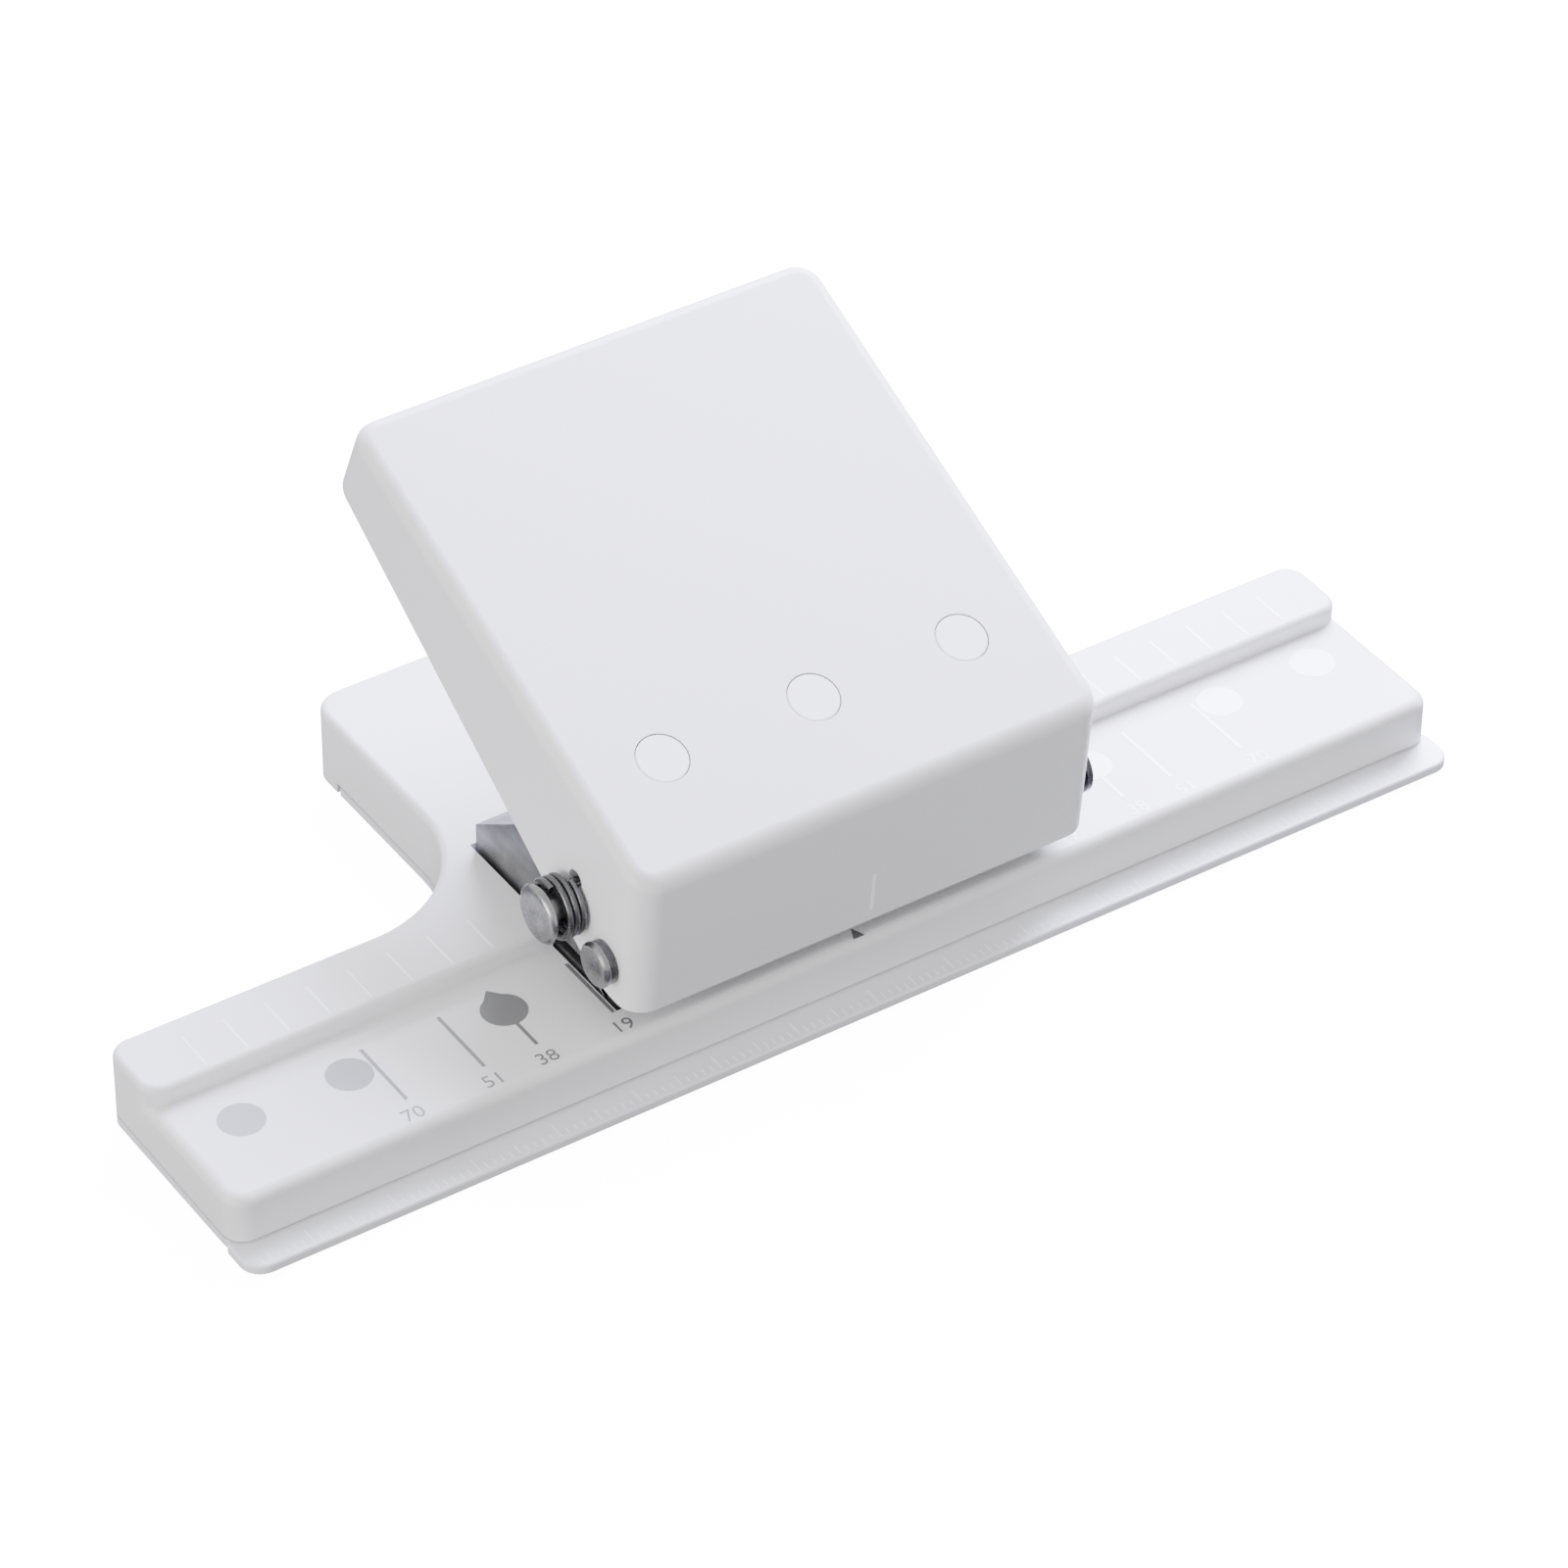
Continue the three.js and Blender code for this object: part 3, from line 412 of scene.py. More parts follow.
def mould_grain_group():
    """The fine spark-eroded grain of moulded plastic, as a height, with slow waviness under it."""
    group, given, out = new_group(
        "mould_grain",
        [("Scale", "NodeSocketFloat", 4200.0), ("Wave", "NodeSocketFloat", 0.35)],
        [("Height", "NodeSocketFloat"), ("Patch", "NodeSocketFloat")],
    )
    place = node(group, "ShaderNodeTexCoord").outputs["Object"]
    fine = noise(group, place, given.outputs["Scale"], 2.0)
    slow = noise(group, place, 38.0, 3.0, 0.55)
    wave = math_node(group, "MULTIPLY", slow, given.outputs["Wave"])
    height = math_node(group, "ADD", fine, wave)
    group.links.new(height, out.inputs["Height"])
    group.links.new(slow, out.inputs["Patch"])
    return group


def handling_and_shade_group():
    """Where a part has been handled: worn edges; and its nooks, found by ambient occlusion, for painted
    shade and a little dust.
    """
    group, given, out = new_group(
        "handling_and_shade",
        [("Edge Reach", "NodeSocketFloat", 0.0009), ("Breakup", "NodeSocketFloat", 260.0)],
        [("Wear", "NodeSocketFloat"), ("Nook Shade And Dust", "NodeSocketFloat")],
    )
    place = node(group, "ShaderNodeTexCoord").outputs["Object"]
    rounded = node(group, "ShaderNodeBevel", {"Radius": given.outputs["Edge Reach"]}, samples=4)
    flat = node(group, "ShaderNodeNewGeometry").outputs["Normal"]
    sides = {0: rounded.outputs["Normal"], 1: flat}
    level = node(group, "ShaderNodeVectorMath", sides, operation="DOT_PRODUCT").outputs["Value"]
    turned = math_node(group, "SUBTRACT", 1.0, level)
    edge = math_node(group, "MULTIPLY", turned, 6.0, clamp=True)
    spots = spread(group, noise(group, place, given.outputs["Breakup"], 4.0), 0.4, 0.62)
    group.links.new(math_node(group, "MULTIPLY", edge, spots), out.inputs["Wear"])
    # Ambient occlusion finds the nooks, where shade falls; this mask carries painted shade as well as
    # dust.
    nook = node(group, "ShaderNodeAmbientOcclusion", {"Distance": 0.0022}, samples=8)
    hidden = math_node(group, "SUBTRACT", 1.0, nook.outputs["AO"], clamp=True)
    soft = noise(group, place, 520.0, 5.0)
    group.links.new(math_node(group, "MULTIPLY", hidden, soft), out.inputs["Nook Shade And Dust"])
    return group


def brushing_group():
    """Long fine strokes, drawn out by the stretch along each axis, and a slower mottle."""
    group, given, out = new_group(
        "brushing",
        [("Stretch", "NodeSocketVector", (60.0, 2600.0, 2600.0)), ("Mottle", "NodeSocketFloat", 220.0)],
        [("Streak", "NodeSocketFloat"), ("Mottle", "NodeSocketFloat")],
    )
    place = node(group, "ShaderNodeTexCoord").outputs["Object"]
    sides = {0: place, 1: given.outputs["Stretch"]}
    drawn = node(group, "ShaderNodeVectorMath", sides, operation="MULTIPLY").outputs["Vector"]
    group.links.new(noise(group, drawn, 1.0, 3.0), out.inputs["Streak"])
    group.links.new(noise(group, place, given.outputs["Mottle"], 4.0), out.inputs["Mottle"])
    return group


MOULD_GRAIN = mould_grain_group()
HANDLING_AND_SHADE = handling_and_shade_group()
BRUSHING = brushing_group()


def use(tree, group, **values):
    made = tree.nodes.new("ShaderNodeGroup")
    made.node_tree = group
    for key, value in values.items():
        made.inputs[key.replace("_", " ")].default_value = value
    return made.outputs


def new_material(name):
    material = bpy.data.materials.new(name)
    material.use_nodes = True
    return material, material.node_tree, material.node_tree.nodes["Principled BSDF"]


def mix_colour(tree, share, first, second):
    made = node(tree, "ShaderNodeMix", {"Factor": share}, data_type="RGBA")
    for socket, colour in (("A", first), ("B", second)):
        target = next(s for s in made.inputs if s.name == socket and s.type == "RGBA")
        if isinstance(colour, bpy.types.NodeSocket):
            tree.links.new(colour, target)
        else:
            target.default_value = (*colour, 1)
    return next(s for s in made.outputs if s.type == "RGBA")


def roughen(tree, shader, height, strength):
    """Lets a height stand out on the surface as a fine bump."""
    bump = node(tree, "ShaderNodeBump", {"Height": height, "Strength": strength, "Distance": 0.0001})
    tree.links.new(bump.outputs["Normal"], shader.inputs["Normal"])


def moulded_plastic(name, colour, worn, shade_and_dust, roughness, grain=4200.0, depth=0.06, specular=0.4):
    """A moulded plastic with grain, uneven gloss, polished edges, and painted shade with a little dust in
    the corners.
    """
    material, tree, shader = new_material(name)
    texture = use(tree, MOULD_GRAIN, Scale=grain)
    handled_and_shaded = use(tree, HANDLING_AND_SHADE)
    tint = tuple(part * 0.965 for part in colour)
    base = mix_colour(tree, texture["Patch"], colour, tint)
    # Painted shade: light plastics turn greyer in their nooks; dark rubber and dark marks turn paler
    # there, as dust.
    base = mix_colour(tree, math_node(tree, "MULTIPLY", handled_and_shaded["Nook Shade And Dust"], 0.35, clamp=True), base, shade_and_dust)
    base = mix_colour(tree, math_node(tree, "MULTIPLY", handled_and_shaded["Wear"], 0.4), base, worn)
    tree.links.new(base, shader.inputs["Base Color"])
    gloss = spread(tree, texture["Patch"], 0.3, 0.7, To_Min=roughness - 0.05, To_Max=roughness + 0.06)
    polished = math_node(tree, "MULTIPLY", handled_and_shaded["Wear"], 0.12)
    tree.links.new(math_node(tree, "SUBTRACT", gloss, polished, clamp=True), shader.inputs["Roughness"])
    roughen(tree, shader, texture["Height"], depth)
    shader.inputs["Specular IOR Level"].default_value = specular
    return material


def steel(name, colour, dark, roughness, stretch):
    """A steel with drawn or turned strokes, mottled tone and brighter edges."""
    material, tree, shader = new_material(name)
    strokes = use(tree, BRUSHING, Stretch=stretch)
    handled_and_shaded = use(tree, HANDLING_AND_SHADE, Edge_Reach=0.0004, Breakup=700.0)
    bright = tuple(min(part * 1.35, 1) for part in colour)
    base = mix_colour(tree, spread(tree, strokes["Mottle"], 0.35, 0.65), dark, colour)
    drawn = math_node(tree, "MULTIPLY", spread(tree, strokes["Streak"], 0.3, 0.7), 0.35)
    base = mix_colour(tree, drawn, base, dark)
    base = mix_colour(tree, math_node(tree, "MULTIPLY", handled_and_shaded["Wear"], 0.6), base, bright)
    tree.links.new(base, shader.inputs["Base Color"])
    shader.inputs["Metallic"].default_value = 1
    rough = spread(tree, strokes["Streak"], 0.3, 0.7, To_Min=roughness - 0.07, To_Max=roughness + 0.09)
    dulled = math_node(tree, "MULTIPLY", handled_and_shaded["Nook Shade And Dust"], 0.2)
    tree.links.new(math_node(tree, "ADD", rough, dulled, clamp=True), shader.inputs["Roughness"])
    roughen(tree, shader, strokes["Streak"], 0.05)
    return material


white_plastic = moulded_plastic(
    "white_plastic", (0.725, 0.722, 0.738), (0.78, 0.78, 0.79), (0.55, 0.54, 0.56), 0.42,
)
cover_plastic = moulded_plastic(
    "cover_plastic", (0.74, 0.74, 0.79), (0.80, 0.80, 0.84), (0.58, 0.57, 0.6), 0.34, specular=0.5,
)
dot_plastic = moulded_plastic(
    "dot_plastic", (0.88, 0.88, 0.91), (0.92, 0.92, 0.93), (0.66, 0.66, 0.66), 0.36, grain=5200.0,
)
dark_mark = moulded_plastic(
    "dark_mark", (0.15, 0.15, 0.155), (0.22, 0.22, 0.23), (0.2, 0.2, 0.2), 0.5, grain=6000.0,
)
grey_mark = moulded_plastic(
    "grey_mark", (0.22, 0.22, 0.235), (0.3, 0.3, 0.31), (0.24, 0.24, 0.24), 0.5, grain=6000.0,
)
light_grey_mark = moulded_plastic(
    "light_grey_mark", (0.29, 0.30, 0.30), (0.36, 0.36, 0.37), (0.3, 0.3, 0.3), 0.5, grain=6000.0,
)
pale_mark = moulded_plastic(
    "pale_mark", (0.95, 0.95, 0.96), (0.96, 0.96, 0.96), (0.85, 0.85, 0.86), 0.3, grain=6000.0,
)
rubber = moulded_plastic(
    "rubber", (0.045, 0.045, 0.048), (0.09, 0.09, 0.09), (0.16, 0.15, 0.14), 0.78,
    grain=2600.0, depth=0.2, specular=0.25,
)
brushed_steel = steel(
    "brushed_steel", (0.26, 0.26, 0.265), (0.17, 0.17, 0.175), 0.40, (2400.0, 90.0, 900.0),
)
bright_steel = steel(
    "bright_steel", (0.34, 0.34, 0.34), (0.22, 0.22, 0.225), 0.30, (300.0, 1600.0, 1600.0),
)
spring_steel = steel(
    "spring_steel", (0.20, 0.20, 0.205), (0.08, 0.08, 0.085), 0.28, (1500.0, 1500.0, 1500.0),
)
hardened_steel = steel(
    "hardened_steel", (0.34, 0.34, 0.36), (0.2, 0.2, 0.21), 0.24, (1800.0, 1800.0, 120.0),
)


# ---------------------------------------------------------------- base body

def tee_corners(inward, front):
    x, rear = BAR_HALF - inward, STRIP_DEPTH - inward
    stem, end = STEM_HALF - inward, STEM_REACH - inward
    return [
        (-x, front), (x, front), (x, rear), (stem, rear),
        (stem, end), (-stem, end), (-stem, rear), (-x, rear),
    ]


def tee_block(name, inward, front, z0, z1, edge):
    """A T-shaped block with round corners, its upper edge rounded."""
    corners = tee_corners(inward, front)
    piece = outline_block(name, corners, "Z", z0, z1)
    bevel_edges(piece, upright_at([corners[3], corners[6]]), STEM_FILLET + inward, 14)
    bevel_edges(piece, upright_at([corners[4], corners[5]]), max(STEM_CORNER - inward, 0.4), 8)
    ends = [corners[i] for i in (0, 1, 2, 7)]
    bevel_edges(piece, upright_at(ends), max(BAR_CORNER - inward, 0.4), 8)
    if edge:
        bevel_edges(piece, at_height(z1), edge, 5)
    return piece


def bar_plate(name, inward, z0, z1, edge):
    """The front of the bar, from its front face to just behind the paper stop."""
    x, front, rear = BAR_HALF - inward, -BED_DEPTH + inward, 4
    piece = box_block(name, -x, x, front, rear, z0, z1)
    bevel_edges(piece, upright_at([(-x, front), (x, front)]), max(BAR_CORNER - inward, 0.4), 8)
    if edge:
        bevel_edges(piece, lambda a, b: at_height(z1)(a, b) and min(a.y, b.y) < rear - 0.1, edge, 5)
    return piece


def screw_holes(name, radius, z0, z1):
    return [rod(name, radius, "Z", (x, SCREW_ROW), z0, z1, 24) for x in sorted(SCREW_PLACES)]


def make_base_body():
    body = tee_block("base_shell", 0, 0, -BODY_DEPTH, FENCE, 0.8)
    add(body, bar_plate("bar", 0, -BODY_DEPTH, 0, 1.3))
    hollow = tee_block("strip_hollow", SHELL, SHELL, -9, FENCE - SHELL, 0)
    add(hollow, bar_plate("bar_hollow", SHELL, -9, -SHELL, 0))
    cut(body, hollow)
    add(body, box_block("pocket_rim", -29.6, 29.6, -16.3, 18.4, -2.7, -0.05))
    cut(body, box_block("pocket", -28.1, 28.1, -12.7, 16.9, -1.2, 4))
    cut(body, *[rod("chute", 4, "Z", (x, PUNCH_ROW), -4, 0.3) for x in PUNCH_PLACES.values()])
    cut(body, *screw_holes("screw_hole", 1.6, -4, 0.3))
    skirt = box_block("skirt", -STEM_HALF, STEM_HALF, SKIRT_FRONT, STEM_REACH, COVER_BOTTOM, -5.4)
    bevel_edges(skirt, upright_at([(STEM_HALF, STEM_REACH), (-STEM_HALF, STEM_REACH)]), STEM_CORNER, 8)
    room = box_block("room", -27.9, 27.9, 42, 46.8, -9, -5)
    bevel_edges(room, upright_at([(27.9, 46.8), (-27.9, 46.8)]), 1.7, 8)
    add(body, cut(skirt, room))
    cut(body, rod("pin_hole", COVER_PIN_HOLE, "X", COVER_HINGE, -29.1, 29.1, 24))
    settle(body, "base", white_plastic, ["base_body"])


make_base_body()


# ---------------------------------------------------------------- bottom cover, its pin and feet

def make_cover():
    plate = tee_block("cover_shell", 0, -BED_DEPTH, COVER_BOTTOM, COVER_TOP, 0)
    lip = box_block("lip", -LIP_HALF, LIP_HALF, LIP_FRONT, LIP_BACK, COVER_BOTTOM, COVER_TOP)
    bevel_edges(lip, upright_at([(-LIP_HALF, LIP_FRONT), (LIP_HALF, LIP_FRONT)]), BAR_CORNER, 8)
    bevel_edges(lip, upright_at([(LIP_HALF, LIP_BACK), (-LIP_HALF, LIP_BACK)]), 1, 4)
    bevel_edges(lip, at_height(COVER_TOP), 0.35, 3)
    cut(plate, box_block("notch", -32, 32, COVER_HINGE[0], 50, -8, -5))
    for side in SIDES.values():
        cut(plate, box_block("corner_notch", *span(side, 26.2, 32), 42.2, 50, -8, -5))
    add(plate, lip, rod("barrel", 1.4, "X", COVER_HINGE, -26.2, 26.2))
    for share in (-0.8, -0.45, 0.45, 0.8):
        x = share * BAR_HALF
        low, high = COVER_TOP - 0.2, COVER_TOP + 2.2
        sides = [(x - 4, low), (x + 4, low), (x + 4, high), (x - 4, high)]
        tongue = outline_block("tongue", sides, "Y", -15.15, -14.15)
        soften(tongue, 0.25)
        add(plate, tongue)
    for x, y in FOOT_PLACES.values():
        cut(plate, rod("recess", 4.05, "Z", (x, y), -8, -6.7))
    cut(plate, rod("bore", COVER_PIN_HOLE, "X", COVER_HINGE, -30, 30, 24))
    settle(plate, "cover", cover_plastic, ["bottom_cover"])


def make_foot():
    profile = [
        (0, -7.45), (1.2, -7.45), (1.6, -7.6), (3.4, -7.6), (3.7, -7.5), (3.96, -7.25), (4, -6.95),
        (4, -6.72), (0, -6.72),
    ]
    return spun("pad", profile, "Z", FOOT_PLACES["front_left"], 48)


make_cover()
pad = make_foot()
for place, (x, y) in FOOT_PLACES.items():
    first_x, first_y = FOOT_PLACES["front_left"]
    foot = copy_piece(pad, f"pad_{place}", (x - first_x, y - first_y, 0))
    settle(foot, "cover", rubber, [f"foot_{place}"])
bpy.data.objects.remove(pad)

pin_profile = [(0, -28.8), (0.6, -28.8), (0.8, -28.6), (0.8, 28.6), (0.6, 28.8), (0, 28.8)]
cover_pin = spun("cover_pin", pin_profile, "X", COVER_HINGE, 24)
settle(cover_pin, "base", bright_steel, ["cover_hinge_pin"])


# ---------------------------------------------------------------- frame, die plate, guide plate, stop

def arc(centre, radius, start, end, inner=False):
    """Corners along an arc in the side view, without its two ends for an inner one."""
    turns = [start + (end - start) * i / 8 for i in (range(1, 8) if inner else range(9))]
    return [(centre[0] + radius * math.cos(t), centre[1] + radius * math.sin(t)) for t in turns]


def axle_slot(x0, x1):
    """The slot that the drive axle sweeps, drawn round the hinge."""
    reach = math.dist(AXLE, HINGE)
    half = 2.3
    top = math.atan2(AXLE[1] - HINGE[1], AXLE[0] - HINGE[0])
    bottom = top - PRESS_TURN
    low = (HINGE[0] + reach * math.cos(bottom), HINGE[1] + reach * math.sin(bottom))
    corners = arc(HINGE, reach + half, bottom, top)
    corners += arc(AXLE, half, top, top + math.pi, inner=True)
    corners += arc(HINGE, reach - half, top, bottom)
    corners += arc(low, half, bottom + math.pi, bottom + 2 * math.pi, inner=True)
    return outline_block("slot", corners, "X", x0, x1)


def make_punch_frame():
    outline = [
        (GUIDE_FRONT, GUIDE_BOTTOM), (0.2, GUIDE_BOTTOM), (0.2, 0.3), (FRAME_REAR, 0.3),
        (FRAME_REAR, 5.4), (SLOPE_TOP, FRAME_TOP), (-9.7, FRAME_TOP), (-14.93, 10.36), (-16.2, HINGE[1]),
    ]
    body = outline_block("sheet_frame", outline, "X", -FRAME_HALF, FRAME_HALF)
    dy, dz = FRAME_SHEET * math.sin(FRAME_SLOPE), FRAME_SHEET * math.cos(FRAME_SLOPE)
    rear = FRAME_REAR - FRAME_SHEET
    past_top = (SLOPE_TOP - dy - 15, FRAME_TOP - dz + 15 * math.tan(FRAME_SLOPE))
    inside = [(-30, 1.5), (rear, 1.5), (rear, 5.05), past_top, (-30, 30)]
    cut(body, outline_block("inside", inside, "X", -FRAME_INSIDE, FRAME_INSIDE))
    cut(body, box_block("front_opening", -FRAME_INSIDE, FRAME_INSIDE, -60, 5, -5, 20))
    cut(body, box_block("flange_cut", -FRAME_INSIDE, FRAME_INSIDE, -60, 7.4, -5, 1.52))
    cut(body, axle_slot(-30, 30))
    cut(body, rod("pin_hole", HINGE_HOLE, "X", HINGE, -30, 30))
    for y in TAB_PLACES:
        cut(body, box_block("window", -30, 30, y - 0.06, y + TAB_DEPTH + 0.06, 0.7, GUIDE_TOP + 0.06))
    cut(body, *screw_holes("thread", 1.54, -1, 3))
    soften(body, 0.16)
    settle(body, "base", brushed_steel, ["punch_frame"], 30)


def punch_holes(z0, z1):
    return [rod("punch_hole", 3.05, "Z", (x, PUNCH_ROW), z0, z1, 48) for x in PUNCH_PLACES.values()]


def rivet_holes(z0, z1):
    return [rod("rivet_hole", 1.29, "Z", (x, RIVET_ROW), z0, z1, 24) for x in RIVET_PLACES]


def make_die_plate():
    body = box_block("die", -FRAME_HALF, FRAME_HALF, DIE_FRONT, FRAME_REAR, DIE_BOTTOM, DIE_TOP)
    bevel_edges(body, upright_at([(-FRAME_HALF, DIE_FRONT), (FRAME_HALF, DIE_FRONT)]), 1, 6)
    cut(body, *punch_holes(-3, 2))
    cut(body, *screw_holes("thread", 1.54, -3, 2))
    cut(body, *rivet_holes(-3, 2))
    soften(body, 0.12)
    settle(body, "base", brushed_steel, ["die_plate"], 30)


def make_guide_plate():
    half = FRAME_INSIDE - 0.02
    body = box_block("guide", -half, half, GUIDE_FRONT, GUIDE_REAR, GUIDE_BOTTOM, GUIDE_TOP)
    for y in TAB_PLACES:
        add(body, box_block("tab", -FRAME_HALF, FRAME_HALF, y, y + TAB_DEPTH, GUIDE_BOTTOM, GUIDE_TOP))
    cut(body, *punch_holes(0, 5))
    cut(body, *rivet_holes(0, 5))
    soften(body, 0.12)
    settle(body, "base", brushed_steel, ["guide_plate"], 30)


def make_stop():
    body = box_block("stop_bar", -26.2, 26.2, 0, GUIDE_REAR, 0.3, 1.68)
    cut(body, *rivet_holes(-1, 4))
    soften(body, 0.1)
    settle(body, "base", brushed_steel, ["throat_stop"], 30)


make_punch_frame()
make_die_plate()
make_guide_plate()
make_stop()

rivet_profile = [
    (0, DIE_BOTTOM), (1.25, DIE_BOTTOM), (1.25, 3.22), (2.1, 3.22), (2.06, 3.5), (1.75, 3.8),
    (1.2, 3.97), (0, 4.02),
]
rivet = spun("rivet_left", rivet_profile, "Z", (RIVET_PLACES[0], RIVET_ROW), 32)
other_rivet = copy_piece(rivet, "rivet_right", (2 * BETWEEN_PUNCHES, 0, 0))
settle(other_rivet, "base", bright_steel, ["guide_rivet_right"])
settle(rivet, "base", bright_steel, ["guide_rivet_left"])


def make_screw():
    """The first screw, its head below and a cross recess in it."""
    x, y = SCREW_PLACES[0], SCREW_ROW
    profile = [
        (0, -4.32), (1.7, -4.32), (2.2, -4.2), (2.6, -3.8), (2.7, -3.4), (2.7, -2.74), (2.6, -2.72),
        (1.5, -2.72), (1.5, 1.3), (1.3, 1.5), (0, 1.5),
    ]
    body = spun("screw", profile, "Z", (x, y), 32)
    for dx, dy in ((1.5, 0.35), (0.35, 1.5)):
        cut(body, box_block("recess_arm", x - dx, x + dx, y - dy, y + dy, -6, -3.52))
    soften(body, 0.06, 1)
    return body


first_screw = make_screw()
for number, x in enumerate(SCREW_PLACES, 1):
    screw = copy_piece(first_screw, f"screw_{number}", (x - SCREW_PLACES[0], 0, 0))
    settle(screw, "base", bright_steel, [f"frame_screw_{number}"])
bpy.data.objects.remove(first_screw)


# ---------------------------------------------------------------- punch pins

def make_punch():
    profile = [
        (0, 2.2), (2.9, 2.2), (3, 2.32), (3, 7.7), (4.4, 7.7), (4.5, 7.8), (4.5, 14.8), (4.3, 15.15),
        (4, 15.3), (0, 15.3),
    ]
    body = spun("plunger", profile, "Z", (0, PUNCH_ROW), 48)
    cut(body, box_block("head_slot", -6, 6, -8.8, -3.23, 9.2, 13.8))
    cut(body, rod("ground_end", 6, "X", (PUNCH_ROW, -2.9), -5, 5, 96))
    soften(body, 0.08, 1)
    return body


plunger = make_punch()
for place, x in PUNCH_PLACES.items():
    punch = copy_piece(plunger, f"plunger_{place}", (x, 0, 0))
    settle(punch, f"punch_{place}", hardened_steel, [f"punch_pin_{place}"])
bpy.data.objects.remove(plunger)


# ---------------------------------------------------------------- lever

def beside(point, angle, distance):
    """A point moved square to a line at an angle, to the left of the way the line runs."""
    return point[0] - distance * math.sin(angle), point[1] + distance * math.cos(angle)


def meet(point_a, angle_a, point_b, angle_b):
    """Where two lines in the side view meet."""
    ax, ay = math.cos(angle_a), math.sin(angle_a)
    bx, by = math.cos(angle_b), math.sin(angle_b)
    dx, dy = point_b[0] - point_a[0], point_b[1] - point_a[1]
    share = (dx * by - dy * bx) / (ax * by - ay * bx)
    return point_a[0] + share * ax, point_a[1] + share * ay


def make_lever():
    outline = [FRONT_BOTTOM, RIM_BEND, REAR_BOTTOM, REAR_TOP, FRONT_TOP]
    body = outline_block("lever_shell", outline, "X", -LEVER_HALF, LEVER_HALF)

    def end_upright(a, b):
        along = (b - a).normalized()
        level = abs(along.x) < 0.01
        return level and abs(a.x) > 29 and (max(a.y, b.y) < -17.9 or min(a.y, b.y) > 37.5)

    bevel_edges(body, end_upright, 3, 8)

    def on_top(a, b):
        return all(abs(height_over_top(p)) < 0.02 for p in (a, b))

    bevel_edges(body, on_top, 1.65, 6)

    def rim_cross(a, b):
        return abs(a.x - b.x) > 20 and abs(a.y - RIM_BEND[0]) < 0.05 and abs(a.z - RIM_BEND[1]) < 0.05

    bevel_edges(body, rim_cross, 2.4, 6)

    def rim_edge(a, b):
        return all(under_rim(p) for p in (a, b))

    bevel_edges(body, rim_edge, 0.3, 3)

    end_angle = LEVER_TILT + math.pi / 2
    front_angle = math.pi / 2 + LEVER_FRONT_LEAN
    top_in = beside(FRONT_TOP, LEVER_TILT, -LEVER_ROOF)
    front_in = beside(FRONT_TOP, front_angle, -LEVER_WALL)
    rear_in = beside(REAR_TOP, end_angle, LEVER_WALL)
    rim_out = beside(RIM_BEND, RIM_ANGLE, -8)
    well_below = (0, -6)
    cavity = [
        meet(front_in, front_angle, well_below, 0),
        meet(well_below, 0, rim_out, RIM_ANGLE),
        meet(rim_out, RIM_ANGLE, rear_in, end_angle),
        meet(rear_in, end_angle, top_in, LEVER_TILT),
        meet(top_in, LEVER_TILT, front_in, front_angle),
    ]
    hollow = outline_block("lever_hollow", cavity, "X", -LEVER_INSIDE, LEVER_INSIDE)

    def hollow_edge(a, b):
        return all(height_over_top(p) > -LEVER_ROOF - 0.05 for p in (a, b))

    bevel_edges(hollow, hollow_edge, 1, 4)
    cut(body, hollow)

    for side in SIDES.values():
        add(body, make_rib(side * BETWEEN_PUNCHES))
    for x in PUNCH_PLACES.values():
        cut(body, dot_disc("dot_recess", x, 3.02, -0.92, 1))
    cut(body, rod("axle_hole", AXLE_HOLE, "X", AXLE, -31, 31))
    cut(body, rod("pin_hole", HINGE_HOLE, "X", HINGE, -31, 31))
    entry = spring_entry()
    for side in SIDES.values():
        cut(body, rod("leg_hole", 1.22, "X", entry, *span(side, 27, 30.5), 24))
    settle(body, "lever", white_plastic, ["lever"])


def height_over_top(p):
    """Distance above the lever's top face, in millimetres."""
    dy, dz = p.y - FRONT_TOP[0], p.z - FRONT_TOP[1]
    return dz * math.cos(LEVER_TILT) - dy * math.sin(LEVER_TILT)


def under_rim(p):
    """True on the lever's underside, flat in front and rising behind."""
    dy, dz = p.y - RIM_BEND[0], p.z - RIM_BEND[1]
    rise = dz * math.cos(RIM_ANGLE) - dy * math.sin(RIM_ANGLE)
    return abs(rise) < 0.05 or abs(p.z - FRONT_BOTTOM[1]) < 0.02 or (rise < 0.5 and p.z < 3.5)


def make_rib(x):
    """A hanging rib with a round foot that carries the drive axle."""
    along = Vector((math.cos(LEVER_TILT), math.sin(LEVER_TILT)))
    upward = Vector((-math.sin(LEVER_TILT), math.cos(LEVER_TILT)))
    radius, steps = 3.6, 20
    rise = -height_over_top(Vector((0, *AXLE))) - 1
    outline = [along * side * radius + upward * rise for side in (-1, 1)]
    for i in range(steps + 1):
        turn = -math.pi * i / steps
        outline.append(along * radius * math.cos(turn) + upward * radius * math.sin(turn))
    corners = [tuple(Vector(AXLE) + corner) for corner in outline]
    return outline_block("rib", corners, "X", x - 0.8, x + 0.8)


def spring_entry():
    """Where a spring's leg goes into the lever's wall."""
    return AXLE[0] + COIL_RADIUS * math.cos(LEG_TURN), AXLE[1] + COIL_RADIUS * math.sin(LEG_TURN)


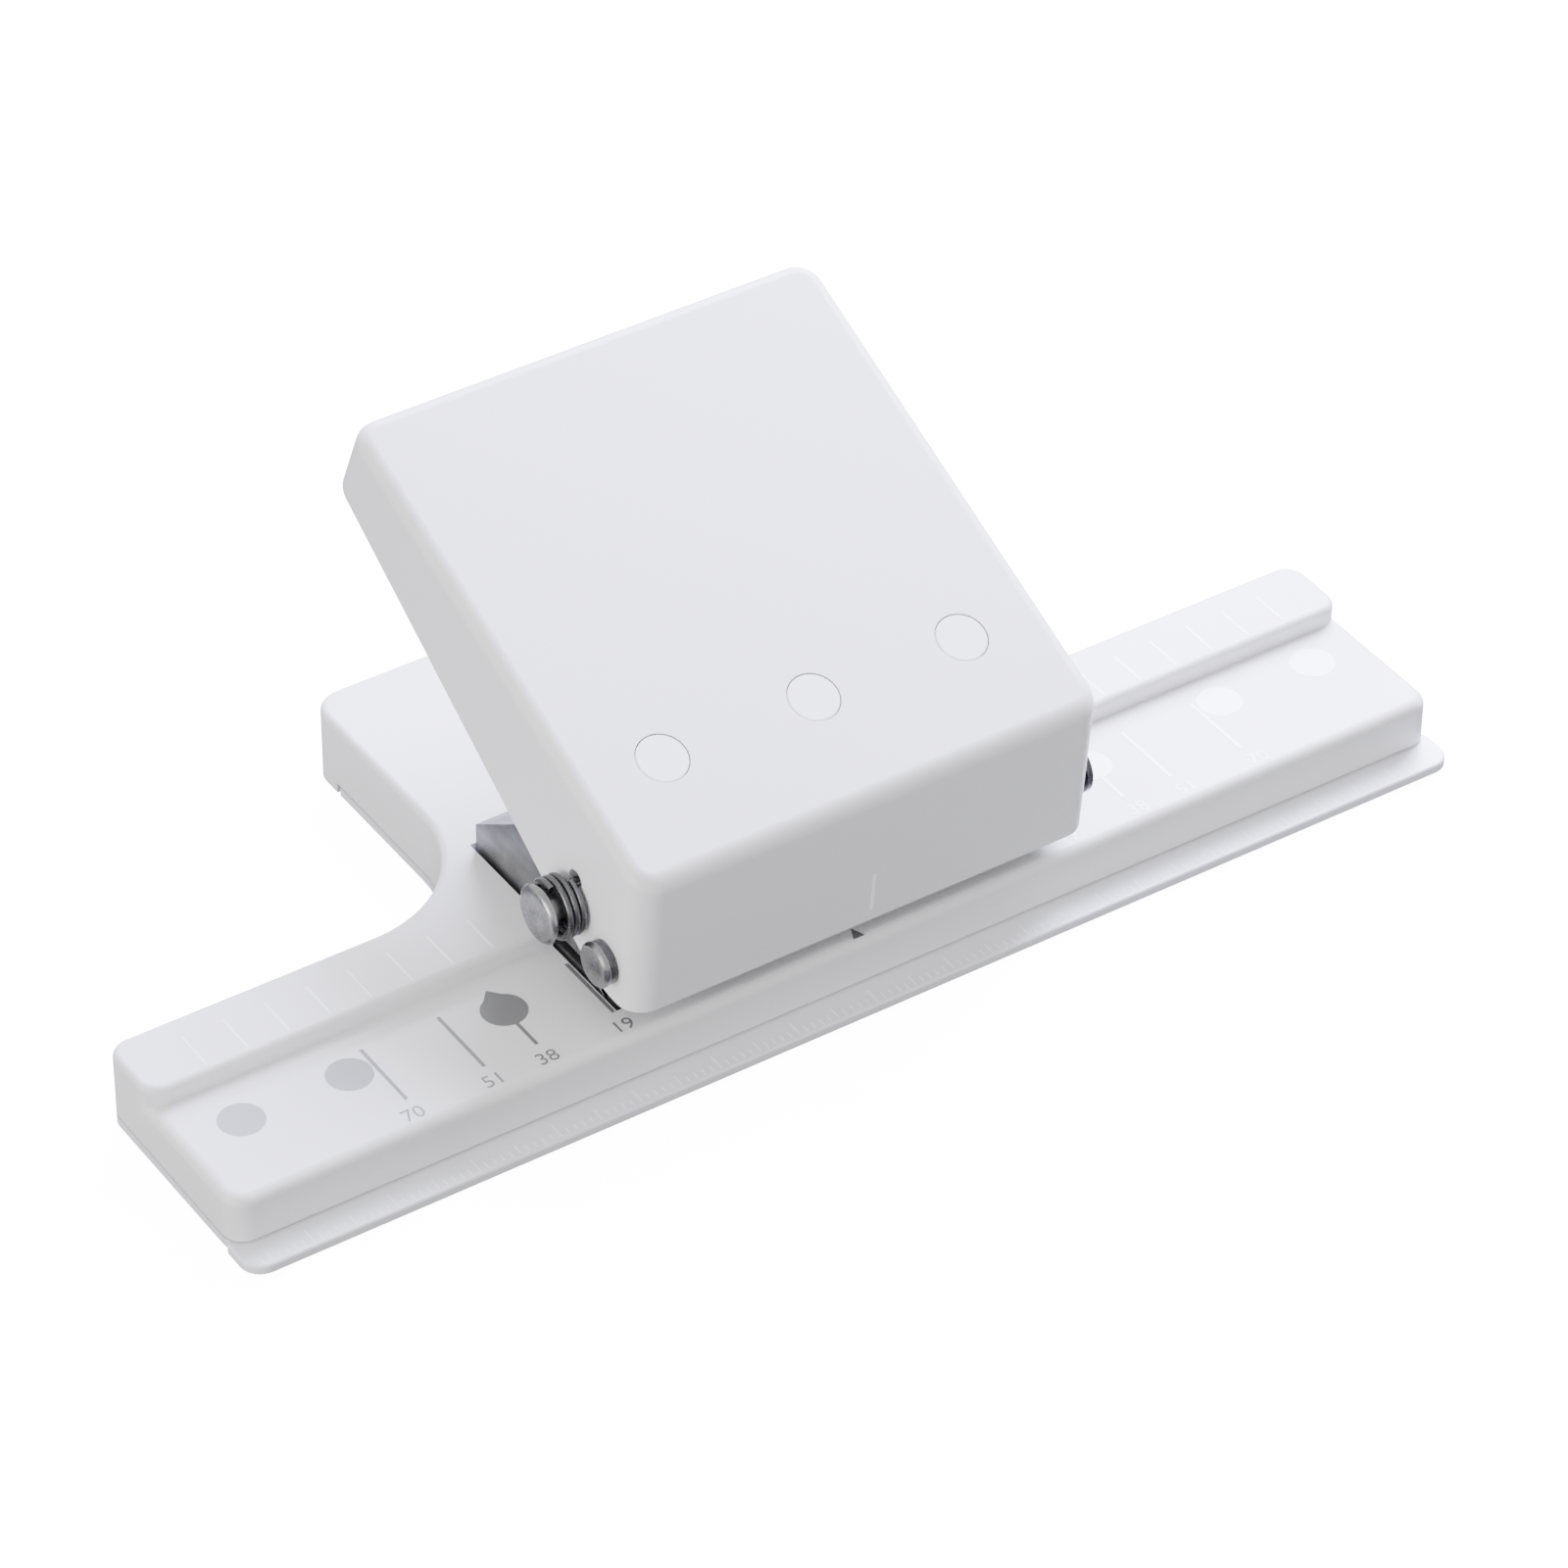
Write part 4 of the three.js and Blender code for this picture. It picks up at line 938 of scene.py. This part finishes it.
def dot_disc(name, x, radius, low, high, edge=0.0):
    """A disc square to the lever's top face, from a low to a high distance above the face."""
    profile = [(0, low), (radius, low), (radius, high - edge), (radius - edge, high), (0, high)]
    if not edge:
        profile = [(0, low), (radius, low), (radius, high), (0, high)]
    disc = spun(name, profile, "Z", (0, 0), 48)
    y = FRONT_TOP[0] + DOT_REACH * math.cos(LEVER_TILT)
    z = FRONT_TOP[1] + DOT_REACH * math.sin(LEVER_TILT)
    tilt = Matrix.Rotation(LEVER_TILT, 4, "X")
    disc.data.transform(Matrix.Translation(at(x, y, z)) @ tilt @ Matrix.Translation(-at(0, 0, 0)))
    return disc


make_lever()

for place, x in PUNCH_PLACES.items():
    dot = dot_disc(f"dot_{place}", x, 2.9, -0.8, -0.03, 0.12)
    settle(dot, "lever", dot_plastic, [f"punch_dot_{place}"])


# ---------------------------------------------------------------- axles, washers and clips

def make_axle():
    profile = [
        (0, -34.02), (0.4, -34.1), (0.9, -34.24), (1.3, -34.28), (2.7, -34.26), (3.1, -34.15),
        (3.35, -33.95), (3.45, -33.75), (3.4, -33.55), (AXLE_RADIUS, -AXLE_GROOVE),
        (AXLE_RADIUS, AXLE_GROOVE), (1.55, AXLE_GROOVE), (1.55, AXLE_GROOVE + GROOVE_WIDTH),
        (AXLE_RADIUS, AXLE_GROOVE + GROOVE_WIDTH),
        (AXLE_RADIUS, AXLE_GROOVE + 1.24), (1.75, AXLE_GROOVE + 1.5), (0, AXLE_GROOVE + 1.5),
    ]
    return spun("axle", profile, "X", AXLE, 64)


def make_hinge_pin():
    profile = [
        (0, -31.33), (2.0, -31.33), (2.35, -31.25), (2.56, -31.0), (2.6, -30.7), (2.55, -30.45),
        (HINGE_RADIUS, -30.45), (HINGE_RADIUS, HINGE_GROOVE), (1.05, HINGE_GROOVE),
        (1.05, HINGE_GROOVE + GROOVE_WIDTH), (HINGE_RADIUS, HINGE_GROOVE + GROOVE_WIDTH),
        (HINGE_RADIUS, 31.7), (1.25, 31.96), (0, 31.96),
    ]
    return spun("hinge_axle", profile, "X", HINGE, 56)


def make_washer(name, outer, inner, x0, x1, centre):
    edge = 0.06
    profile = [
        (inner, x0 + edge), (inner + edge, x0), (outer - edge, x0), (outer, x0 + edge),
        (outer, x1 - edge), (outer - edge, x1), (inner + edge, x1), (inner, x1 - edge),
    ]
    return spun(name, profile, "X", centre, 56)


def make_clip(name, pin_radius, x, centre):
    inner = pin_radius - 0.41
    ring = make_washer(name, pin_radius + 1.6, inner, x + 0.02, x + 0.72, centre)
    y, z = centre
    cut(ring, box_block("mouth", x - 1, x + 2, y - inner * 0.75, y + inner * 0.75, z - pin_radius - 3, z))
    return ring


settle(make_axle(), "lever", bright_steel, ["drive_axle"], 25)
settle(make_hinge_pin(), "base", bright_steel, ["hinge_pin"], 25)
hinge_ring = make_clip("hinge_ring", HINGE_RADIUS, HINGE_GROOVE, HINGE)
settle(hinge_ring, "base", spring_steel, ["hinge_clip"], 30)
axle_ring = make_clip("axle_ring", AXLE_RADIUS, AXLE_GROOVE, AXLE)
settle(axle_ring, "lever", spring_steel, ["axle_clip"], 30)
for place, side in SIDES.items():
    washer = make_washer(f"hinge_spacer_{place}", 2.5, HINGE_HOLE, *span(side, 29.6, 30.4), HINGE)
    settle(washer, "base", spring_steel, [f"hinge_washer_{place}"], 30)
    washer = make_washer(f"axle_spacer_{place}", 3.1, AXLE_HOLE, *span(side, 33.2, 33.48), AXLE)
    settle(washer, "lever", bright_steel, [f"axle_washer_{place}"], 30)


# ---------------------------------------------------------------- return springs

def make_spring(name, side):
    """Three turns of wire round the axle, with a leg bent into the lever's wall."""
    wire, turns, pitch, steps = 0.38, 3, 0.82, 32
    first = Vector((side * (29.62 + wire), *spring_entry()))
    put_down()
    bpy.ops.mesh.primitive_circle_add(vertices=14, radius=wire * MM, fill_type="NGON", location=at(*first))
    piece = bpy.context.object
    piece.name = name
    tangent = Vector((0, -math.sin(LEG_TURN), math.cos(LEG_TURN)))
    piece.rotation_euler = tangent.to_track_quat("Z", "X").to_euler()
    bpy.ops.object.transform_apply(location=True, rotation=True, scale=True)
    bpy.ops.object.mode_set(mode="EDIT")
    bpy.ops.mesh.select_all(action="SELECT")
    step = (side * pitch / steps * MM, 0, 0)
    for _ in range(turns * steps):
        bpy.ops.mesh.extrude_region_move(TRANSFORM_OT_translate={"value": step})
        bpy.ops.transform.rotate(
            value=-2 * math.pi / steps, orient_axis="X", orient_type="GLOBAL",
            center_override=at(first.x, *AXLE),
        )
    put_down()
    leg = rod("leg", wire, "X", (first.y, first.z), *sorted((side * 27.86, first.x)), 14)
    return join_pieces(name, [piece, leg])


for place, side in SIDES.items():
    spring = make_spring(f"coil_{place}", side)
    settle(spring, "lever", spring_steel, [f"return_spring_{place}"], 40)


# ---------------------------------------------------------------- marks on the bed, the strip and the lip

def print_mark(name, corners, top, height=MARK_HEIGHT):
    """A thin printed patch with its outline on a level face."""
    return outline_block(name, corners, "Z", top - MARK_SINK, top + height)


def stroke(name, x, y0, y1, width, top, height=MARK_HEIGHT):
    half = width / 2
    return print_mark(name, [(x - half, y0), (x + half, y0), (x + half, y1), (x - half, y1)], top, height)


def spot(name, x, y, height):
    return rod(name, SPOT_RADIUS, "Z", (x, y), -MARK_SINK, height, 40)


def figures_at(words, x, y):
    """Raised figures that read from the front, made a mesh before they are placed."""
    put_down()
    bpy.ops.object.text_add()
    text = bpy.context.object
    text.name = "figure"
    text.data.body = words
    text.data.align_x = "CENTER"
    text.data.align_y = "CENTER"
    text.data.size = FIGURE_SIZE * MM
    text.data.resolution_u = 4
    text.data.extrude = (MARK_HEIGHT + MARK_SINK) / 2 * MM
    bpy.ops.object.convert(target="MESH")
    piece = bpy.context.object
    piece.location = at(x, y, (MARK_HEIGHT - MARK_SINK) / 2)
    bpy.ops.object.transform_apply(location=True, rotation=True, scale=True)
    bpy.ops.object.mode_set(mode="EDIT")
    bpy.ops.mesh.select_all(action="SELECT")
    bpy.ops.mesh.remove_doubles(threshold=1e-7)
    bpy.ops.mesh.normals_make_consistent(inside=False)
    put_down()
    return piece


def make_bed_marks():
    for side, sign in SIDES.items():
        # Painted light: the print is alike on both sides. The right's marks are painted pale as a
        # highlight of the glare there, and the left's marks nearest the lever are darkest as painted shade
        # from the lever.
        outer_line, inner_line, disc, spots_y = pale_mark, pale_mark, pale_mark, -4.6
        if side == "left":
            outer_line, inner_line, disc, spots_y = grey_mark, dark_mark, light_grey_mark, -6.1
        for part, line, marks in (
            ("outer", outer_line, (("70", 54, 0.6), ("51", 44.5, 0.3))),
            ("inner", inner_line, (("38", 38, 0.2), ("19", 28.5, 0.3))),
        ):
            lines = [stroke("line", sign * x, -12.7, -3.3, 0.42, 0) for _, x, _ in marks]
            settle(join_pieces(f"bed_lines_{part}_{side}", lines), "base", line)
            figures = [figures_at(words, sign * (x + shift), -15.1) for words, x, shift in marks]
            settle(join_pieces(f"bed_numbers_{part}_{side}", figures), "base", line)
        outer = [spot("spot", sign * x, spots_y, 0.02) for x in (70, 57)]
        settle(join_pieces(f"bed_spots_{side}", outer), "base", disc)
        x = sign * 38
        near = spot(f"bed_drop_{side}", x, -6.1, 0.035)
        peak = print_mark("peak", [(x - 1.6, -4.3), (x + 1.6, -4.3), (x, -2.4)], 0, 0.034)
        settle(join_pieces(f"bed_drop_{side}", [near, peak]), "base", inner_line)
    centre = print_mark("bed_centre_mark", [(-0.5, -16.6), (0.9, -16.6), (0.2, -15.0)], 0)
    settle(centre, "base", dark_mark)


def make_strip_ticks():
    for side, sign in SIDES.items():
        # Painted highlight: the strip's ticks are fine embossed lines, and their pale colour stands for
        # the highlight along them.
        ticks = [stroke("tick", sign * x, 0.9, 6.2, 0.3, FENCE, 0.025) for x in range(35, 75, 5)]
        settle(join_pieces(f"strip_ticks_{side}", ticks), "base", pale_mark)


def make_lip_ruler():
    ticks = []
    front = -20.7
    for x in range(-76, 77):
        length = 2.2 if x % 10 == 0 else 1.6 if x % 5 == 0 else 1.0
        ticks.append(stroke("tick", x, front, front + length, 0.16, COVER_TOP, 0.015))
    settle(join_pieces("lip_ruler", ticks), "cover", pale_mark)


def make_lever_mark():
    """A fine raised line down the middle of the lever's front face."""
    corners = []
    for z, out in ((4.6, 0.03), (9.9, 0.03), (9.9, -0.05), (4.6, -0.05)):
        y = FRONT_BOTTOM[0] - (z - FRONT_BOTTOM[1]) * math.tan(LEVER_FRONT_LEAN) - out
        corners.append((y, z))
    mark = outline_block("lever_centre_mark", corners, "X", 0.45, 0.85)
    settle(mark, "lever", pale_mark)


make_bed_marks()
make_strip_ticks()
make_lip_ruler()
make_lever_mark()


# ---------------------------------------------------------------- floor, light and camera

def make_floor():
    """A plain pale floor that looks white to the camera and throws little light back up."""
    put_down()
    bpy.ops.mesh.primitive_plane_add(size=6, location=(0, 0, -0.0002))
    floor = bpy.context.object
    floor.name = "floor"
    material, tree, shader = new_material("pale_floor")
    place = node(tree, "ShaderNodeTexCoord").outputs["Object"]
    soft = node(tree, "ShaderNodeTexNoise", {"Vector": place, "Scale": 3.0, "Detail": 2.0})
    tone = mix_colour(tree, soft.outputs["Fac"], (0.93, 0.93, 0.93), (0.95, 0.95, 0.95))
    seen = node(tree, "ShaderNodeLightPath").outputs["Is Camera Ray"]
    tree.links.new(mix_colour(tree, seen, (0.1, 0.1, 0.1), tone), shader.inputs["Base Color"])
    tree.links.new(mix_colour(tree, seen, (0, 0, 0), tone), shader.inputs["Emission Color"])
    shader.inputs["Emission Strength"].default_value = 15.0
    shader.inputs["Roughness"].default_value = 0.9
    shader.inputs["Specular IOR Level"].default_value = 0.1
    floor.data.materials.append(material)


def area_light(name, place, target, size, power, colour=(1, 1, 1)):
    lamp = bpy.data.lights.new(name, "AREA")
    lamp.shape = "RECTANGLE"
    lamp.size, lamp.size_y = size
    lamp.energy = power
    lamp.color = colour
    lamp_object = bpy.data.objects.new(name, lamp)
    lamp_object.location = place
    lamp_object.rotation_euler = (Vector(target) - Vector(place)).to_track_quat("-Z", "Y").to_euler()
    bpy.context.scene.collection.objects.link(lamp_object)


def make_lights():
    world = bpy.data.worlds.new("studio")
    world.use_nodes = True
    backdrop = world.node_tree.nodes["Background"]
    backdrop.inputs["Color"].default_value = (0.99, 0.985, 0.985, 1)
    backdrop.inputs["Strength"].default_value = 1.5
    bpy.context.scene.world = world
    area_light("window", (0.32, 0.22, 0.34), (0, 0, 0.02), (0.34, 0.34), 26, (0.76, 0.76, 1.0))
    area_light("left_fill", (-0.9, -0.12, 0.22), (0, 0, 0.02), (0.6, 0.35), 8)


def make_camera():
    """The camera stands to the front left, well above the bed."""
    azimuth, elevation, roll = math.radians(33.955), math.radians(38.691), math.radians(0.588)
    distance = 739.29
    target = at(2.092, 0.914, 8.398)
    level = math.cos(elevation)
    back = Vector((-math.sin(azimuth) * level, -math.cos(azimuth) * level, math.sin(elevation)))
    sight = -back
    right = sight.cross(Vector((0, 0, 1))).normalized()
    up = right.cross(sight)
    right, up = (
        right * math.cos(roll) + up * math.sin(roll),
        up * math.cos(roll) - right * math.sin(roll),
    )
    data = bpy.data.cameras.new("camera")
    data.sensor_width = 36
    data.lens = 156.93
    data.clip_start, data.clip_end = 0.05, 20
    camera = bpy.data.objects.new("camera", data)
    turn = Matrix((right, up, back)).transposed().to_4x4()
    camera.matrix_world = Matrix.Translation(target + back * distance * MM) @ turn
    bpy.context.scene.collection.objects.link(camera)
    bpy.context.scene.camera = camera


make_floor()
make_lights()
make_camera()
